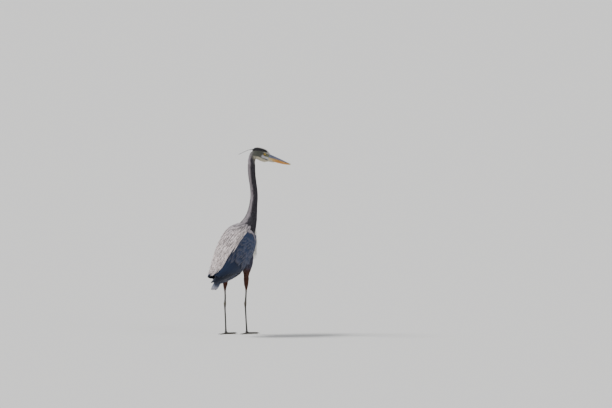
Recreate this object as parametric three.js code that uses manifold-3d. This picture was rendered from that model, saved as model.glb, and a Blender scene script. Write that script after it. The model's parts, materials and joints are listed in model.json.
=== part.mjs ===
// A life-size great blue heron, standing still with one foot ahead of the other and its head turned to its
// right.
//
// Millimetres, +Z up. The bird's body heads along -Y, and +X is its left. Places are given as how far forward,
// how far left and how high they are. Each sub-part is one closed solid, and neighbours keep a thin gap.

import * as THREE from 'three';
import { mergeVertices } from 'three/addons/utils/BufferGeometryUtils.js';
import Module from 'manifold-3d';

const wasm = await Module();
wasm.setup();

// ---- driving dimensions ----

const GAP = 0.35; // between neighbouring solids
const FAR = 2000; // longer than the bird, for cutting blocks

const BODY_FORWARD = -40; // middle of the trunk
const BODY_HEIGHT = 486;
const BODY_PITCH = THREE.MathUtils.degToRad(50); // the trunk's axis rises this much towards the breast

const HEAD_TURN = THREE.MathUtils.degToRad(-48); // to the bird's right, about the upright
const HEAD_NOD = THREE.MathUtils.degToRad(18); // bill below level
const NECK_TOP_FORWARD = 146; // where the neck's axis stops rising and bends into the head
const BILL_ROOT_REACH = 102.3; // from the neck's axis to the feather edge on the bill, level
const BILL_ROOT_HEIGHT = 1091.6;

const BILL_LENGTH = 145;
const BILL_HALF_WIDTH = 11;
const UPPER_BILL_DEPTH = 18;
const LOWER_BILL_DEPTH = 18;
const GAPE = -5; // height of the line where the two halves of the bill close, from the head's axis

const EYE_RADIUS = 9.5;
const EYE_OUT = 13.2; // from the head's midline to the eye's middle
const EYE_BACK = 27; // behind the feather edge on the bill
const EYE_UP = 5;

const HIP_HALF_WIDTH = 42; // from the midline to each leg
const SHANK_TOP = 286; // height at which the thigh's feathers end
const HOCK_HEIGHT = 190;
const ANKLE_HEIGHT = 12;
const FOOT_PAD_RADIUS = 9.5;
const FOOT_PAD_MIDDLE = 8.4; // height of the pad's middle, so that its lowest part is cut flat by the floor

const BLUE_GREY = 0x6d7787;
const PALE_GREY = 0xb4b1b3;
const SLATE = 0x3a4a60;
const NECK_GREY = 0x7d7479;
const WHITE = 0xd9d4ca;
const BLACK = 0x17161b;
const RUFOUS = 0x7a4a30;
const HORN = 0x7c7a75;
const ORANGE = 0xb98a3c;
const YELLOW = 0xd9b53a;
const LEG_BROWN = 0x4b423c;

// ---- places and materials ----

const LEFT = new THREE.Vector3(1, 0, 0);

function at(forward, left, up) {
  return new THREE.Vector3(left, -forward, up);
}

// A place beside the trunk's axis: along it towards the breast, out to the left, and out towards the back.
function onBody(along, left, dorsal) {
  const forward = along * Math.cos(BODY_PITCH) - dorsal * Math.sin(BODY_PITCH);
  const up = along * Math.sin(BODY_PITCH) + dorsal * Math.cos(BODY_PITCH);
  return at(BODY_FORWARD + forward, left, BODY_HEIGHT + up);
}

function finish(colour, roughness = 0.85) {
  return new THREE.MeshStandardMaterial({ color: colour, roughness, metalness: 0 });
}

// ---- swept shapes ----

// A spine is a smooth line with an oval section. A station is [place, half width, depth above, depth below].
function makeSpine(stations) {
  return {
    line: new THREE.CatmullRomCurve3(stations.map(([place]) => place)),
    section: new THREE.CatmullRomCurve3(stations.map(([, ...sizes]) => new THREE.Vector3(...sizes))),
  };
}

// The cross-section's own axes at a point of a spine: sideways, and outward towards the back.
function sectionAxes(spine, t) {
  const tangent = spine.line.getTangent(t);
  const across = LEFT.clone().addScaledVector(tangent, -LEFT.dot(tangent)).normalize();
  const out = new THREE.Vector3().crossVectors(tangent, across);
  return { across, out };
}

// Rings from one end to the other. A cap rounds an end over that share of the spine; no cap leaves it flat.
function ringPlan({ from = 0, to = 1, rings, startCap = 0, endCap = 0, capRings = 3 }) {
  const plan = [{ t: from, scale: 0 }];
  for (let i = 1; i < capRings && startCap > 0; i++) {
    const angle = (i / capRings) * Math.PI / 2;
    plan.push({ t: from + startCap * (1 - Math.cos(angle)), scale: Math.sin(angle) });
  }
  for (let i = 0; i <= rings; i++) {
    plan.push({ t: from + startCap + (i / rings) * (to - endCap - from - startCap), scale: 1 });
  }
  for (let i = capRings - 1; i > 0 && endCap > 0; i--) {
    const angle = (i / capRings) * Math.PI / 2;
    plan.push({ t: to - endCap * (1 - Math.cos(angle)), scale: Math.sin(angle) });
  }
  plan.push({ t: to, scale: 0 });
  return plan;
}

// Reshapes a sphere: each of its rings goes to one ring of the plan, by place(step, x, z) round the ring.
function reshapedSphere(plan, around, place) {
  const geometry = new THREE.SphereGeometry(1, around, plan.length - 1);
  const positions = geometry.attributes.position;
  for (let i = 0; i < positions.count; i++) {
    const step = plan[Math.floor(i / (around + 1))];
    const angle = ((i % (around + 1)) / around) * Math.PI * 2;
    const point = place(step, -Math.cos(angle), Math.sin(angle));
    positions.setXYZ(i, point.x, point.y, point.z);
  }
  return tidyGeometry(geometry);
}

// A closed limb, neck or trunk along a spine.
function sweep(spine, options) {
  return reshapedSphere(ringPlan(options), options.around, (step, x, z) => {
    const { across, out } = sectionAxes(spine, step.t);
    const section = spine.section.getPoint(step.t);
    const depth = z > 0 ? section.y : section.z;
    return spine.line.getPoint(step.t)
      .addScaledVector(across, x * section.x * step.scale)
      .addScaledVector(out, z * depth * step.scale);
  });
}

// A thin bent layer, thickest along its middle, lying on the oval surface round a spine. Stations along it are
// [share of the spine, upper edge, lower edge, half thickness], with the edges as angles, 0 at the bird's side
// and 90 at the middle of its back.
const LAYER_AROUND = 12;
const LAYER_CAP = 0.12;

function layer(spine, stations, options) {
  const { rings, hand, lift = 0, grow = 0 } = options;
  const shape = new THREE.CatmullRomCurve3(stations.map(([, ...sizes]) => new THREE.Vector3(...sizes)));
  const shares = stations.map(([share]) => share);
  const plan = ringPlan({ rings, startCap: LAYER_CAP, endCap: LAYER_CAP });
  return reshapedSphere(plan, LAYER_AROUND, (step, x, z) => {
    const edges = shape.getPoint(step.t);
    const t = sampleShares(shares, step.t);
    const { across, out } = sectionAxes(spine, t);
    const section = spine.section.getPoint(t);
    const extra = step.scale > 0 ? grow : 0;
    const spread = THREE.MathUtils.degToRad(step.scale * (edges.x - edges.y));
    const halfSpread = spread / 2 + extra / section.x;
    const angle = THREE.MathUtils.degToRad((edges.x + edges.y) / 2) + x * halfSpread;
    const reach = lift + z * (step.scale * edges.z + extra);
    const depth = Math.sin(angle) > 0 ? section.y : section.z;
    return spine.line.getPoint(t)
      .addScaledVector(across, hand * Math.cos(angle) * (section.x + reach))
      .addScaledVector(out, Math.sin(angle) * (depth + reach));
  });
}

function sampleShares(shares, t) {
  const place = t * (shares.length - 1);
  const index = Math.min(Math.floor(place), shares.length - 2);
  return THREE.MathUtils.lerp(shares[index], shares[index + 1], place - index);
}

// ---- solids ----

// Shared corners merged, and every face pointing out.
function tidyGeometry(geometry) {
  geometry.deleteAttribute('normal');
  geometry.deleteAttribute('uv');
  const merged = mergeVertices(geometry, 1e-3);
  const kept = [];
  for (let i = 0; i < merged.index.count; i += 3) {
    const corners = [merged.index.getX(i), merged.index.getX(i + 1), merged.index.getX(i + 2)];
    if (new Set(corners).size === 3) kept.push(...corners);
  }
  merged.setIndex(kept);
  if (signedVolume(merged) < 0) merged.setIndex(kept.reverse());
  return merged;
}

function signedVolume(geometry) {
  const positions = geometry.attributes.position;
  const corner = (i) => new THREE.Vector3().fromBufferAttribute(positions, geometry.index.getX(i));
  let volume = 0;
  for (let i = 0; i < geometry.index.count; i += 3) {
    volume += corner(i).dot(corner(i + 1).cross(corner(i + 2))) / 6;
  }
  return volume;
}

function solid(geometry) {
  return new wasm.Manifold(new wasm.Mesh({
    numProp: 3,
    vertProperties: new Float32Array(geometry.attributes.position.array),
    triVerts: new Uint32Array(geometry.index.array),
  }));
}

// The same shape a little larger all round, to cut a neighbour with.
function clearance(geometry) {
  const larger = geometry.clone();
  larger.computeVertexNormals();
  const positions = larger.attributes.position;
  const normals = larger.attributes.normal;
  for (let i = 0; i < positions.count; i++) {
    positions.setXYZ(
      i,
      positions.getX(i) + normals.getX(i) * GAP,
      positions.getY(i) + normals.getY(i) * GAP,
      positions.getZ(i) + normals.getZ(i) * GAP,
    );
  }
  larger.deleteAttribute('normal');
  return solid(larger);
}

function block(width, depth, height, place, rotation = new THREE.Euler()) {
  const geometry = new THREE.BoxGeometry(width, depth, height);
  geometry.applyMatrix4(new THREE.Matrix4().makeRotationFromEuler(rotation).setPosition(place));
  return solid(tidyGeometry(geometry));
}

function geometryOf(manifold) {
  const mesh = manifold.getMesh();
  const geometry = new THREE.BufferGeometry();
  geometry.setAttribute('position', new THREE.BufferAttribute(new Float32Array(mesh.vertProperties), 3));
  geometry.setIndex(new THREE.BufferAttribute(new Uint32Array(mesh.triVerts), 1));
  return geometry;
}

const heron = new THREE.Group();

function addPart(name, manifold, material, group = heron) {
  const mesh = new THREE.Mesh(geometryOf(manifold), material);
  mesh.name = name;
  group.add(mesh);
  return mesh;
}

// ---- trunk ----

// Along the body's axis, from its middle: [along, dorsal shift, half width, depth above, depth below].
const TRUNK_STATIONS = [
  [-215, 0, 16, 12, 16],
  [-170, 2, 40, 28, 50],
  [-110, 2, 66, 52, 90],
  [-40, 0, 87, 80, 118],
  [40, 0, 97, 93, 120],
  [110, 0, 95, 94, 106],
  [165, 4, 81, 82, 88],
  [216, 18, 57, 62, 62],
];

// The surface that the folded wings and the back's plumes lie on. It leaves the trunk behind the thighs.
const FOLD_STATIONS = [
  [-275, 58, 30, 14, 12],
  [-220, 38, 48, 30, 28],
  [-170, 22, 64, 48, 56],
  [-110, 10, 81, 68, 92],
  [-40, 2, 96, 88, 120],
  [40, 0, 103, 98, 122],
  [110, 0, 101, 98, 108],
  [165, 2, 86, 87, 90],
  [224, 8, 52, 54, 56],
];

function bodySpine(stations) {
  const placed = stations.map(([along, dorsal, ...section]) => [onBody(along, 0, dorsal), ...section]);
  return makeSpine(placed);
}

const foldSpine = bodySpine(FOLD_STATIONS);
const trunkShape = sweep(bodySpine(TRUNK_STATIONS), {
  around: 18, rings: 11, startCap: 0.1, endCap: 0.1,
});
const trunkClearance = clearance(trunkShape);

// ---- neck ----

const HANDS = [['left', 1], ['right', -1]];
const headForward = at(Math.cos(HEAD_TURN), Math.sin(HEAD_TURN), 0);

// A place over the neck's top, moved towards where the head points.
function overNeck(reach, up) {
  return at(NECK_TOP_FORWARD, 0, up).addScaledVector(headForward, reach);
}

const neckStations = [
  [at(20, 0, 560), 70, 60, 62],
  [at(60, 0, 610), 68, 62, 62],
  [at(98, 0, 655), 58, 48, 56],
  [at(125, 0, 695), 43, 36, 46],
  [at(141, 0, 730), 33, 30, 36],
  [at(155, 0, 784), 25, 25, 27],
  [at(164, 0, 852), 22, 22, 24],
  [at(156, 0, 913), 21.5, 22, 22.5],
  [at(144, 0, 975), 22.5, 23.5, 23],
  [at(141, 0, 1035), 23, 24.5, 23],
  [overNeck(-1, 1075), 22, 25, 23],
  [overNeck(15, 1100), 19, 26, 22],
  [overNeck(38, 1114), 18, 24, 22],
];
const neckSpine = makeSpine(neckStations);
const NECK_STEP = 1 / (neckStations.length - 1);

// Where the neck is parted, counted in stations from its base.
const NECK_PARTS = [
  { name: 'neck_base', from: 0.5, to: 4, rings: 6, around: 18 },
  { name: 'neck_lower', from: 4, to: 6, rings: 5, around: 14 },
  { name: 'neck_middle', from: 6, to: 8, rings: 5, around: 12 },
  { name: 'neck_upper', from: 8, to: 9.6, rings: 4, around: 12 },
];
const HEAD_FROM = 9.6;

function neckLength({ from, to, rings, around }) {
  const halfGap = GAP / neckSpine.line.getLength() / 2;
  const ends = { from: from * NECK_STEP + halfGap, to: to * NECK_STEP - halfGap };
  return sweep(neckSpine, { ...ends, rings, around });
}

// Long narrow feathers that hang free in front of the breast.
const foreneckShape = sweep(makeSpine([
  [at(170, 0, 716), 11, 6, 4],
  [at(176, 0, 650), 16, 6, 6],
  [at(178, 0, 560), 14, 5, 5],
  [at(180, 0, 490), 8, 3, 3],
  [at(182, 0, 446), 2.5, 1.5, 1.5],
]), { around: 8, rings: 6, startCap: 0.12, endCap: 0.04, capRings: 2 });
const foreneckClearance = clearance(foreneckShape);

for (const part of NECK_PARTS) {
  let piece = solid(neckLength(part)).subtract(foreneckClearance);
  if (part.name === 'neck_base') piece = piece.subtract(trunkClearance);
  addPart(part.name, piece, finish(NECK_GREY));
}
const neckBaseClearance = clearance(neckLength(NECK_PARTS[0]));
addPart('foreneck_plumes', solid(foreneckShape), finish(WHITE));

// ---- head ----

// Inside this group the head looks along its own forward, from the feather edge at the root of the bill.
const headGroup = new THREE.Group();
headGroup.position.copy(overNeck(BILL_ROOT_REACH, BILL_ROOT_HEIGHT));
headGroup.rotation.set(HEAD_NOD, 0, HEAD_TURN, 'ZYX');
headGroup.updateMatrix();
heron.add(headGroup);
const headInverse = headGroup.matrix.clone().invert();

// Shares of the bill's length, and the shares of its full width and of each half's full depth found there.
const BILL_SHARES = [-0.09, 0, 0.3, 0.65, 0.93, 1];
const BILL_WIDTHS = [0.85, 1, 0.72, 0.42, 0.16, 0.05];
const UPPER_DEPTHS = [0.85, 1, 0.78, 0.42, 0.11, 0.04];
const LOWER_DEPTHS = [0.85, 1, 0.93, 0.74, 0.32, 0.1];
const LIP = 1.2; // how far each half of the bill bulges over the line where they close

function billHalf(depths, depthAbove, depthBelow, height) {
  return sweep(makeSpine(BILL_SHARES.map((share, i) => [
    at(share * BILL_LENGTH, 0, height),
    BILL_HALF_WIDTH * BILL_WIDTHS[i],
    depthAbove * depths[i],
    depthBelow * depths[i],
  ])), { around: 12, rings: 7, endCap: 0.03, capRings: 2 });
}

const upperBillShape = billHalf(UPPER_DEPTHS, UPPER_BILL_DEPTH, LIP, GAPE + LIP + GAP / 2);
const lowerBillShape = billHalf(LOWER_DEPTHS, LIP, LOWER_BILL_DEPTH, GAPE - LIP - GAP / 2);

const skullShape = sweep(makeSpine([
  [at(-104, 0, 2), 9, 14, 20],
  [at(-86, 0, 4), 18, 28, 34],
  [at(-60, 0, 3), 21.5, 34, 44],
  [at(-32, 0, 0), 20.5, 36, 45],
  [at(-14, 0, -4), 16.5, 30, 42],
  [at(0, 0, -6), 12.5, 22.5, 35],
  [at(10, 0, -9), 10, 13, 27],
  [at(26, 0, -16), 8.5, 6, 15],
  [at(50, 0, -18), 4.5, 3, 8],
]), { around: 14, rings: 11, startCap: 0.05, endCap: 0.03, capRings: 2 });

// The top of the neck, bent into the back of the head, seen from the head's own frame.
const napeShape = sweep(neckSpine, {
  from: HEAD_FROM * NECK_STEP, rings: 3, around: 12, endCap: 0.05, capRings: 2,
});
napeShape.applyMatrix4(headInverse);

function eyeShape(hand) {
  const geometry = new THREE.SphereGeometry(EYE_RADIUS, 12, 6);
  geometry.rotateZ(Math.PI / 2);
  geometry.translate(...at(-EYE_BACK, hand * EYE_OUT, EYE_UP));
  return tidyGeometry(geometry);
}

function crestPlumeShape(hand) {
  return sweep(makeSpine([
    [at(-96, hand * 4, 16), 1.6, 1.2, 1.2],
    [at(-122, hand * 6, 4), 1.9, 1.3, 1.3],
    [at(-152, hand * 9, -20), 1.6, 1, 1],
    [at(-180, hand * 12, -47), 0.7, 0.6, 0.6],
  ]), { around: 6, rings: 6, endCap: 0.02, capRings: 2 });
}

let head = solid(skullShape).add(solid(napeShape));
head = head.subtract(clearance(upperBillShape)).subtract(clearance(lowerBillShape));
for (const [side, hand] of HANDS) {
  head = head.subtract(clearance(eyeShape(hand)));
  addPart(`eye_${side}`, solid(eyeShape(hand)), finish(YELLOW, 0.1), headGroup);
  head = head.subtract(clearance(crestPlumeShape(hand)));
  addPart(`crest_plume_${side}`, solid(crestPlumeShape(hand)), finish(BLACK), headGroup);
}
addPart('head', head, finish(WHITE), headGroup);
addPart('upper_bill', solid(upperBillShape), finish(HORN, 0.4), headGroup);
addPart('lower_bill', solid(lowerBillShape), finish(ORANGE, 0.4), headGroup);

// ---- wings, plumes of the back, and tail ----

// Layer stations from the wrist to the wing's tip, with shares of the fold's length counted from its rear.
function wingStations(tip) {
  return [
    [0.93, 44, 0, 4],
    [0.8, 66, -32, 7],
    [0.6, 74, -36, 7],
    [0.4, 80, -26, 6],
    [0.22, 84, -12, 4],
    [tip, 76, 8, 2],
  ];
}

const SCAPULAR_STATIONS = [
  [0.98, 88, 16, 6],
  [0.86, 89, 30, 8],
  [0.6, 89, 47, 8],
  [0.34, 88, 52, 5],
  [0.18, 84, 60, 2],
];
const SCAPULAR_LIFT = 8;
const WING_TIP_SHARE = { left: 0.13, right: 0.03 };

// Parting planes across the wing, as places along the body's axis.
const COVERTS_END = -10;
const SECONDARIES_END = -185;
const WING_PARTS = [
  { name: 'coverts', from: COVERTS_END, to: FAR / 2, colour: BLUE_GREY },
  { name: 'secondaries', from: SECONDARIES_END, to: COVERTS_END - GAP, colour: SLATE },
  { name: 'primaries', from: -FAR / 2, to: SECONDARIES_END - GAP, colour: SLATE },
];

function acrossBody({ from, to }) {
  return block(FAR, to - from, FAR, onBody((from + to) / 2, 0, 0), new THREE.Euler(-BODY_PITCH, 0, 0));
}

const tailShape = sweep(bodySpine([
  [-258, -24, 29, 3, 3],
  [-225, -17, 32, 4, 4],
  [-180, -8, 30, 6, 6],
  [-130, 0, 24, 8, 8],
]), { around: 12, rings: 5, startCap: 0.12 });

const wingClearance = {};
for (const [side, hand] of HANDS) {
  const stations = wingStations(WING_TIP_SHARE[side]);
  const wing = solid(layer(foldSpine, stations, { hand, rings: 9 }))
    .subtract(trunkClearance)
    .subtract(neckBaseClearance);
  wingClearance[side] = solid(layer(foldSpine, stations, { hand, rings: 9, grow: GAP }));
  for (const part of WING_PARTS) {
    addPart(`wing_${side}_${part.name}`, wing.intersect(acrossBody(part)), finish(part.colour));
  }
  const scapularShape = layer(foldSpine, SCAPULAR_STATIONS, { hand, lift: SCAPULAR_LIFT, rings: 7 });
  const scapulars = solid(scapularShape)
    .subtract(trunkClearance)
    .subtract(neckBaseClearance)
    .subtract(wingClearance[side]);
  addPart(`scapulars_${side}`, scapulars, finish(PALE_GREY));
}
addPart('trunk', solid(trunkShape), finish(BLUE_GREY));
addPart('tail', solid(tailShape).subtract(trunkClearance), finish(BLUE_GREY));

// ---- legs ----

// Each leg from hip to foot: [forward, out from the midline, height, half width, depth ahead, depth behind].
const LEGS = {
  right: {
    hand: -1,
    foot: 50,
    stations: [
      [32, 56, 520, 26, 34, 34],
      [36, 58, 480, 35, 44, 42],
      [41, 52, 436, 34, 41, 44],
      [45, 47, 402, 26, 30, 32],
      [46, 44, 374, 17, 18, 19],
      [46, HIP_HALF_WIDTH, 334, 12.5, 13, 14],
      [46, HIP_HALF_WIDTH, 304, 7.5, 7.5, 8],
      [46, HIP_HALF_WIDTH, 284, 5.4, 5.4, 5.6],
      [43, HIP_HALF_WIDTH, 236, 4.8, 5, 5],
      [38, HIP_HALF_WIDTH, HOCK_HEIGHT, 7.5, 7, 9],
      [39, HIP_HALF_WIDTH, 158, 4.6, 5, 5.5],
      [44, HIP_HALF_WIDTH, 90, 4.2, 5, 5],
      [49, HIP_HALF_WIDTH, 34, 4.8, 5.5, 5.5],
      [50, HIP_HALF_WIDTH, ANKLE_HEIGHT, 7, 7, 7],
    ],
  },
  left: {
    hand: 1,
    foot: -48,
    stations: [
      [-2, 55, 500, 26, 34, 34],
      [-10, 56, 464, 33, 40, 40],
      [-24, 51, 416, 30, 33, 37],
      [-38, 45, 368, 19, 20, 22],
      [-48, 43, 336, 12, 12, 13],
      [-53, HIP_HALF_WIDTH, 312, 9, 9, 10],
      [-55, HIP_HALF_WIDTH, 296, 6.8, 6.8, 7.2],
      [-56, HIP_HALF_WIDTH, 278, 5.4, 5.4, 5.6],
      [-54, HIP_HALF_WIDTH, 234, 4.8, 5, 5],
      [-56, HIP_HALF_WIDTH, HOCK_HEIGHT, 7.5, 7, 9],
      [-56, HIP_HALF_WIDTH, 158, 4.6, 5, 5.5],
      [-52, HIP_HALF_WIDTH, 90, 4.2, 5, 5],
      [-49, HIP_HALF_WIDTH, 34, 4.8, 5.5, 5.5],
      [-48, HIP_HALF_WIDTH, ANKLE_HEIGHT, 7, 7, 7],
    ],
  },
};

const LEG_PARTS = [
  { name: 'thigh', from: SHANK_TOP, to: FAR, colour: RUFOUS },
  { name: 'shank', from: HOCK_HEIGHT, to: SHANK_TOP - GAP, colour: LEG_BROWN },
  { name: 'tarsus', from: -FAR, to: HOCK_HEIGHT - GAP, colour: LEG_BROWN },
];

function betweenHeights({ from, to }) {
  return block(FAR, FAR, to - from, at(0, 0, (from + to) / 2));
}

// Toes spread from the foot's pad, each at an angle from straight ahead towards the bird's outside.
const TOES = [
  { name: 'middle', spread: 3, length: 88, radius: 5.2, claw: 15 },
  { name: 'outer', spread: 34, length: 72, radius: 4.8, claw: 13 },
  { name: 'inner', spread: -31, length: 64, radius: 4.8, claw: 13 },
  { name: 'hind', spread: 176, length: 46, radius: 4.6, claw: 22 },
];
const CLAW_ROOT_HEIGHT = 3.6;
const CLAW_TIP_HEIGHT = 1.6;

function toeShape({ length, radius }) {
  return sweep(makeSpine([
    [at(2, 0, radius + 1.5), radius, radius, radius],
    [at(length * 0.3, 0, radius - 0.6), radius * 0.92, radius * 0.92, radius],
    [at(length * 0.65, 0, radius * 0.78 - 0.6), radius * 0.8, radius * 0.78, radius * 0.9],
    [at(length, 0, radius * 0.6 - 0.4), radius * 0.58, radius * 0.6, radius * 0.7],
  ]), { around: 8, rings: 4 });
}

function clawShape({ length, radius, claw }) {
  return sweep(makeSpine([
    [at(length + GAP, 0, CLAW_ROOT_HEIGHT), radius * 0.4, radius * 0.42, radius * 0.42],
    [at(length + claw * 0.5, 0, CLAW_ROOT_HEIGHT + 0.6), radius * 0.3, radius * 0.36, radius * 0.36],
    [at(length + claw, 0, CLAW_TIP_HEIGHT), 0.5, 0.5, 0.5],
  ]), { around: 6, rings: 4 });
}

const ground = block(FAR, FAR, FAR, at(0, 0, -FAR / 2));

function addFoot(side, { hand, foot }) {
  const footPlace = at(foot, hand * HIP_HALF_WIDTH, 0);
  const pad = new THREE.SphereGeometry(FOOT_PAD_RADIUS, 10, 6);
  pad.translate(...at(0, 0, FOOT_PAD_MIDDLE));
  const padShape = tidyGeometry(pad);
  const taken = [clearance(padShape)];
  for (const toe of TOES) {
    const turn = new THREE.Group();
    turn.position.copy(footPlace);
    turn.rotation.z = THREE.MathUtils.degToRad(hand * toe.spread);
    turn.updateMatrix();
    const aboutFoot = new THREE.Matrix4().makeRotationZ(turn.rotation.z);
    const backToToe = aboutFoot.clone().invert();
    let piece = solid(toeShape(toe)).subtract(ground);
    for (const neighbour of taken) {
      piece = piece.subtract(neighbour.transform(backToToe.elements));
    }
    addPart(`toe_${side}_${toe.name}`, piece, finish(LEG_BROWN, 0.7), turn);
    addPart(`claw_${side}_${toe.name}`, solid(clawShape(toe)), finish(BLACK, 0.4), turn);
    taken.push(clearance(toeShape(toe).applyMatrix4(aboutFoot)));
    heron.add(turn);
  }
  padShape.translate(...footPlace);
  return padShape;
}

for (const [side, leg] of Object.entries(LEGS)) {
  const places = leg.stations.map(([forward, out, height, ...section]) => [
    at(forward, leg.hand * out, height),
    ...section,
  ]);
  const limb = solid(sweep(makeSpine(places), { around: 10, rings: 18, startCap: 0.05, capRings: 2 }))
    .add(solid(addFoot(side, leg)).subtract(ground));
  for (const part of LEG_PARTS) {
    let piece = limb.intersect(betweenHeights(part));
    if (part.name === 'thigh') piece = piece.subtract(trunkClearance).subtract(wingClearance[side]);
    addPart(`${part.name}_${side}`, piece, finish(part.colour));
  }
}

// ---- the origin: on the floor, under the middle of the bird's box ----

const box = new THREE.Box3().setFromObject(heron);
const middle = box.getCenter(new THREE.Vector3());
heron.position.set(-middle.x, -middle.y, -box.min.z);

export default heron;
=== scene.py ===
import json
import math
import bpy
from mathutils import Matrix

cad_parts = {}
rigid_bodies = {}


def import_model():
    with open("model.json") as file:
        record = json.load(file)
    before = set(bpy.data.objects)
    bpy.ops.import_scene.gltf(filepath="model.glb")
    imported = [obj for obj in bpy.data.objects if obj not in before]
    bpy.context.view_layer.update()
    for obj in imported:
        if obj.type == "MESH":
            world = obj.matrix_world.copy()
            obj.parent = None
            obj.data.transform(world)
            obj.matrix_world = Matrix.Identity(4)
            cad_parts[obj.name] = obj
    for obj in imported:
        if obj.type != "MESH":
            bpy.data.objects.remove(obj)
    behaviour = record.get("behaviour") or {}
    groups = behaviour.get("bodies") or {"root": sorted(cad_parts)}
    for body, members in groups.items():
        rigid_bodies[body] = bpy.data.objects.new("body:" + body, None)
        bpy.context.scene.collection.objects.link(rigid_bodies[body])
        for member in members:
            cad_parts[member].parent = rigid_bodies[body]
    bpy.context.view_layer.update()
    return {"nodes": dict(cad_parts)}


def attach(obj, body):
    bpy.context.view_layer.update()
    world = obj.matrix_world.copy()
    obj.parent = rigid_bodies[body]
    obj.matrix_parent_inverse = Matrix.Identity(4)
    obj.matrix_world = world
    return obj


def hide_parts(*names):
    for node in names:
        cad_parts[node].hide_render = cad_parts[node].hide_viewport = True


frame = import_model()

# A life-size great blue heron, still, standing with its head turned to its right. The frame is in metres,
# with +Z up and the body along -Y. The skin is one form inside the coat, the feathers are thin closed vanes
# that follow it, and the bill, eyes, claws and long plumes are pieces of their own. Sizes in this file are in
# millimetres unless a line says otherwise.

from types import SimpleNamespace

import bmesh
import bpy
import numpy as np
from bpy.props import FloatProperty, FloatVectorProperty, IntProperty, PointerProperty
from mathutils import Vector
from mathutils.bvhtree import BVHTree

bl_info = {
    "name": "Great blue heron",
    "version": (1, 0, 0),
    "blender": (4, 5, 0),
    "location": "View3D > Sidebar > Heron",
    "description": "Builds a standing heron's skin, plumage, bill, eyes and feet round its packed form",
    "category": "Object",
}

MM = 0.001
ORIGIN = np.array((0.04053, 0.03137, 0.0))
HANDS = (("left", 1), ("right", -1))
LEFT = np.array((1.0, 0.0, 0.0))

# ---- the bird's own places ----

BODY_FORWARD = -40
BODY_HEIGHT = 486
BODY_PITCH = math.radians(50)
HEAD_TURN = math.radians(-48)
HEAD_NOD = math.radians(18)
NECK_TOP_FORWARD = 146
BILL_ROOT_REACH = 102.3
BILL_ROOT_HEIGHT = 1091.6


def at(forward, left, up):
    """A place by how far forward, how far left and how high it is, as metres in the frame."""
    return ORIGIN + MM * np.stack(np.broadcast_arrays(left, -np.asarray(forward, float), up), axis=-1)


def on_body(along, left, dorsal):
    """A place beside the trunk's axis: towards the breast, out to the left, and out towards the back."""
    along, dorsal = np.asarray(along, float), np.asarray(dorsal, float)
    forward = along * math.cos(BODY_PITCH) - dorsal * math.sin(BODY_PITCH)
    up = along * math.sin(BODY_PITCH) + dorsal * math.cos(BODY_PITCH)
    return at(BODY_FORWARD + forward, left, BODY_HEIGHT + up)


def over_neck(reach, up):
    """A place over the neck's top, moved towards where the head points."""
    return at(NECK_TOP_FORWARD + reach * math.cos(HEAD_TURN), reach * math.sin(HEAD_TURN), up)


def head_axes():
    """The head's own left, back and up, as rows."""
    turn_across, turn_along = math.sin(HEAD_TURN), math.cos(HEAD_TURN)
    nod_across, nod_along = math.sin(HEAD_NOD), math.cos(HEAD_NOD)
    about_up = np.array([[turn_along, -turn_across, 0], [turn_across, turn_along, 0], [0, 0, 1]])
    about_left = np.array([[1, 0, 0], [0, nod_along, -nod_across], [0, nod_across, nod_along]])
    return (about_up @ about_left).T


HEAD_AXES = head_axes()
HEAD_ROOT = over_neck(BILL_ROOT_REACH, BILL_ROOT_HEIGHT)


def in_head(forward, left, up):
    """A place in the head's own frame, which starts at the feather edge on the bill."""
    local = MM * np.stack(np.broadcast_arrays(left, -np.asarray(forward, float), up), axis=-1)
    return HEAD_ROOT + local @ HEAD_AXES


def head_place(points):
    """How far forward, left and up points are in the head's own frame, in millimetres."""
    local = (points - HEAD_ROOT) @ HEAD_AXES.T / MM
    return -local[..., 1], local[..., 0], local[..., 2]


NECK_LINE = [
    at(20, 0, 560), at(60, 0, 610), at(98, 0, 655), at(125, 0, 695), at(141, 0, 730), at(155, 0, 784),
    at(164, 0, 852), at(156, 0, 913), at(144, 0, 975), at(141, 0, 1035), over_neck(-1, 1075),
    over_neck(15, 1100), over_neck(38, 1113),
]

# The surface that the folded wings lie on: [along, dorsal shift, half width, above, below].
FOLD_STATIONS = [
    [-275, 58, 30, 14, 12],
    [-220, 38, 48, 30, 28],
    [-170, 22, 64, 48, 56],
    [-110, 10, 81, 68, 92],
    [-40, 2, 96, 88, 120],
    [40, 0, 103, 98, 122],
    [110, 0, 101, 98, 108],
    [165, 2, 86, 87, 90],
    [224, 8, 52, 54, 56],
]

HIP_HALF_WIDTH = 42
FOOT_FORWARD = {"right": 50, "left": -48}
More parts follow.
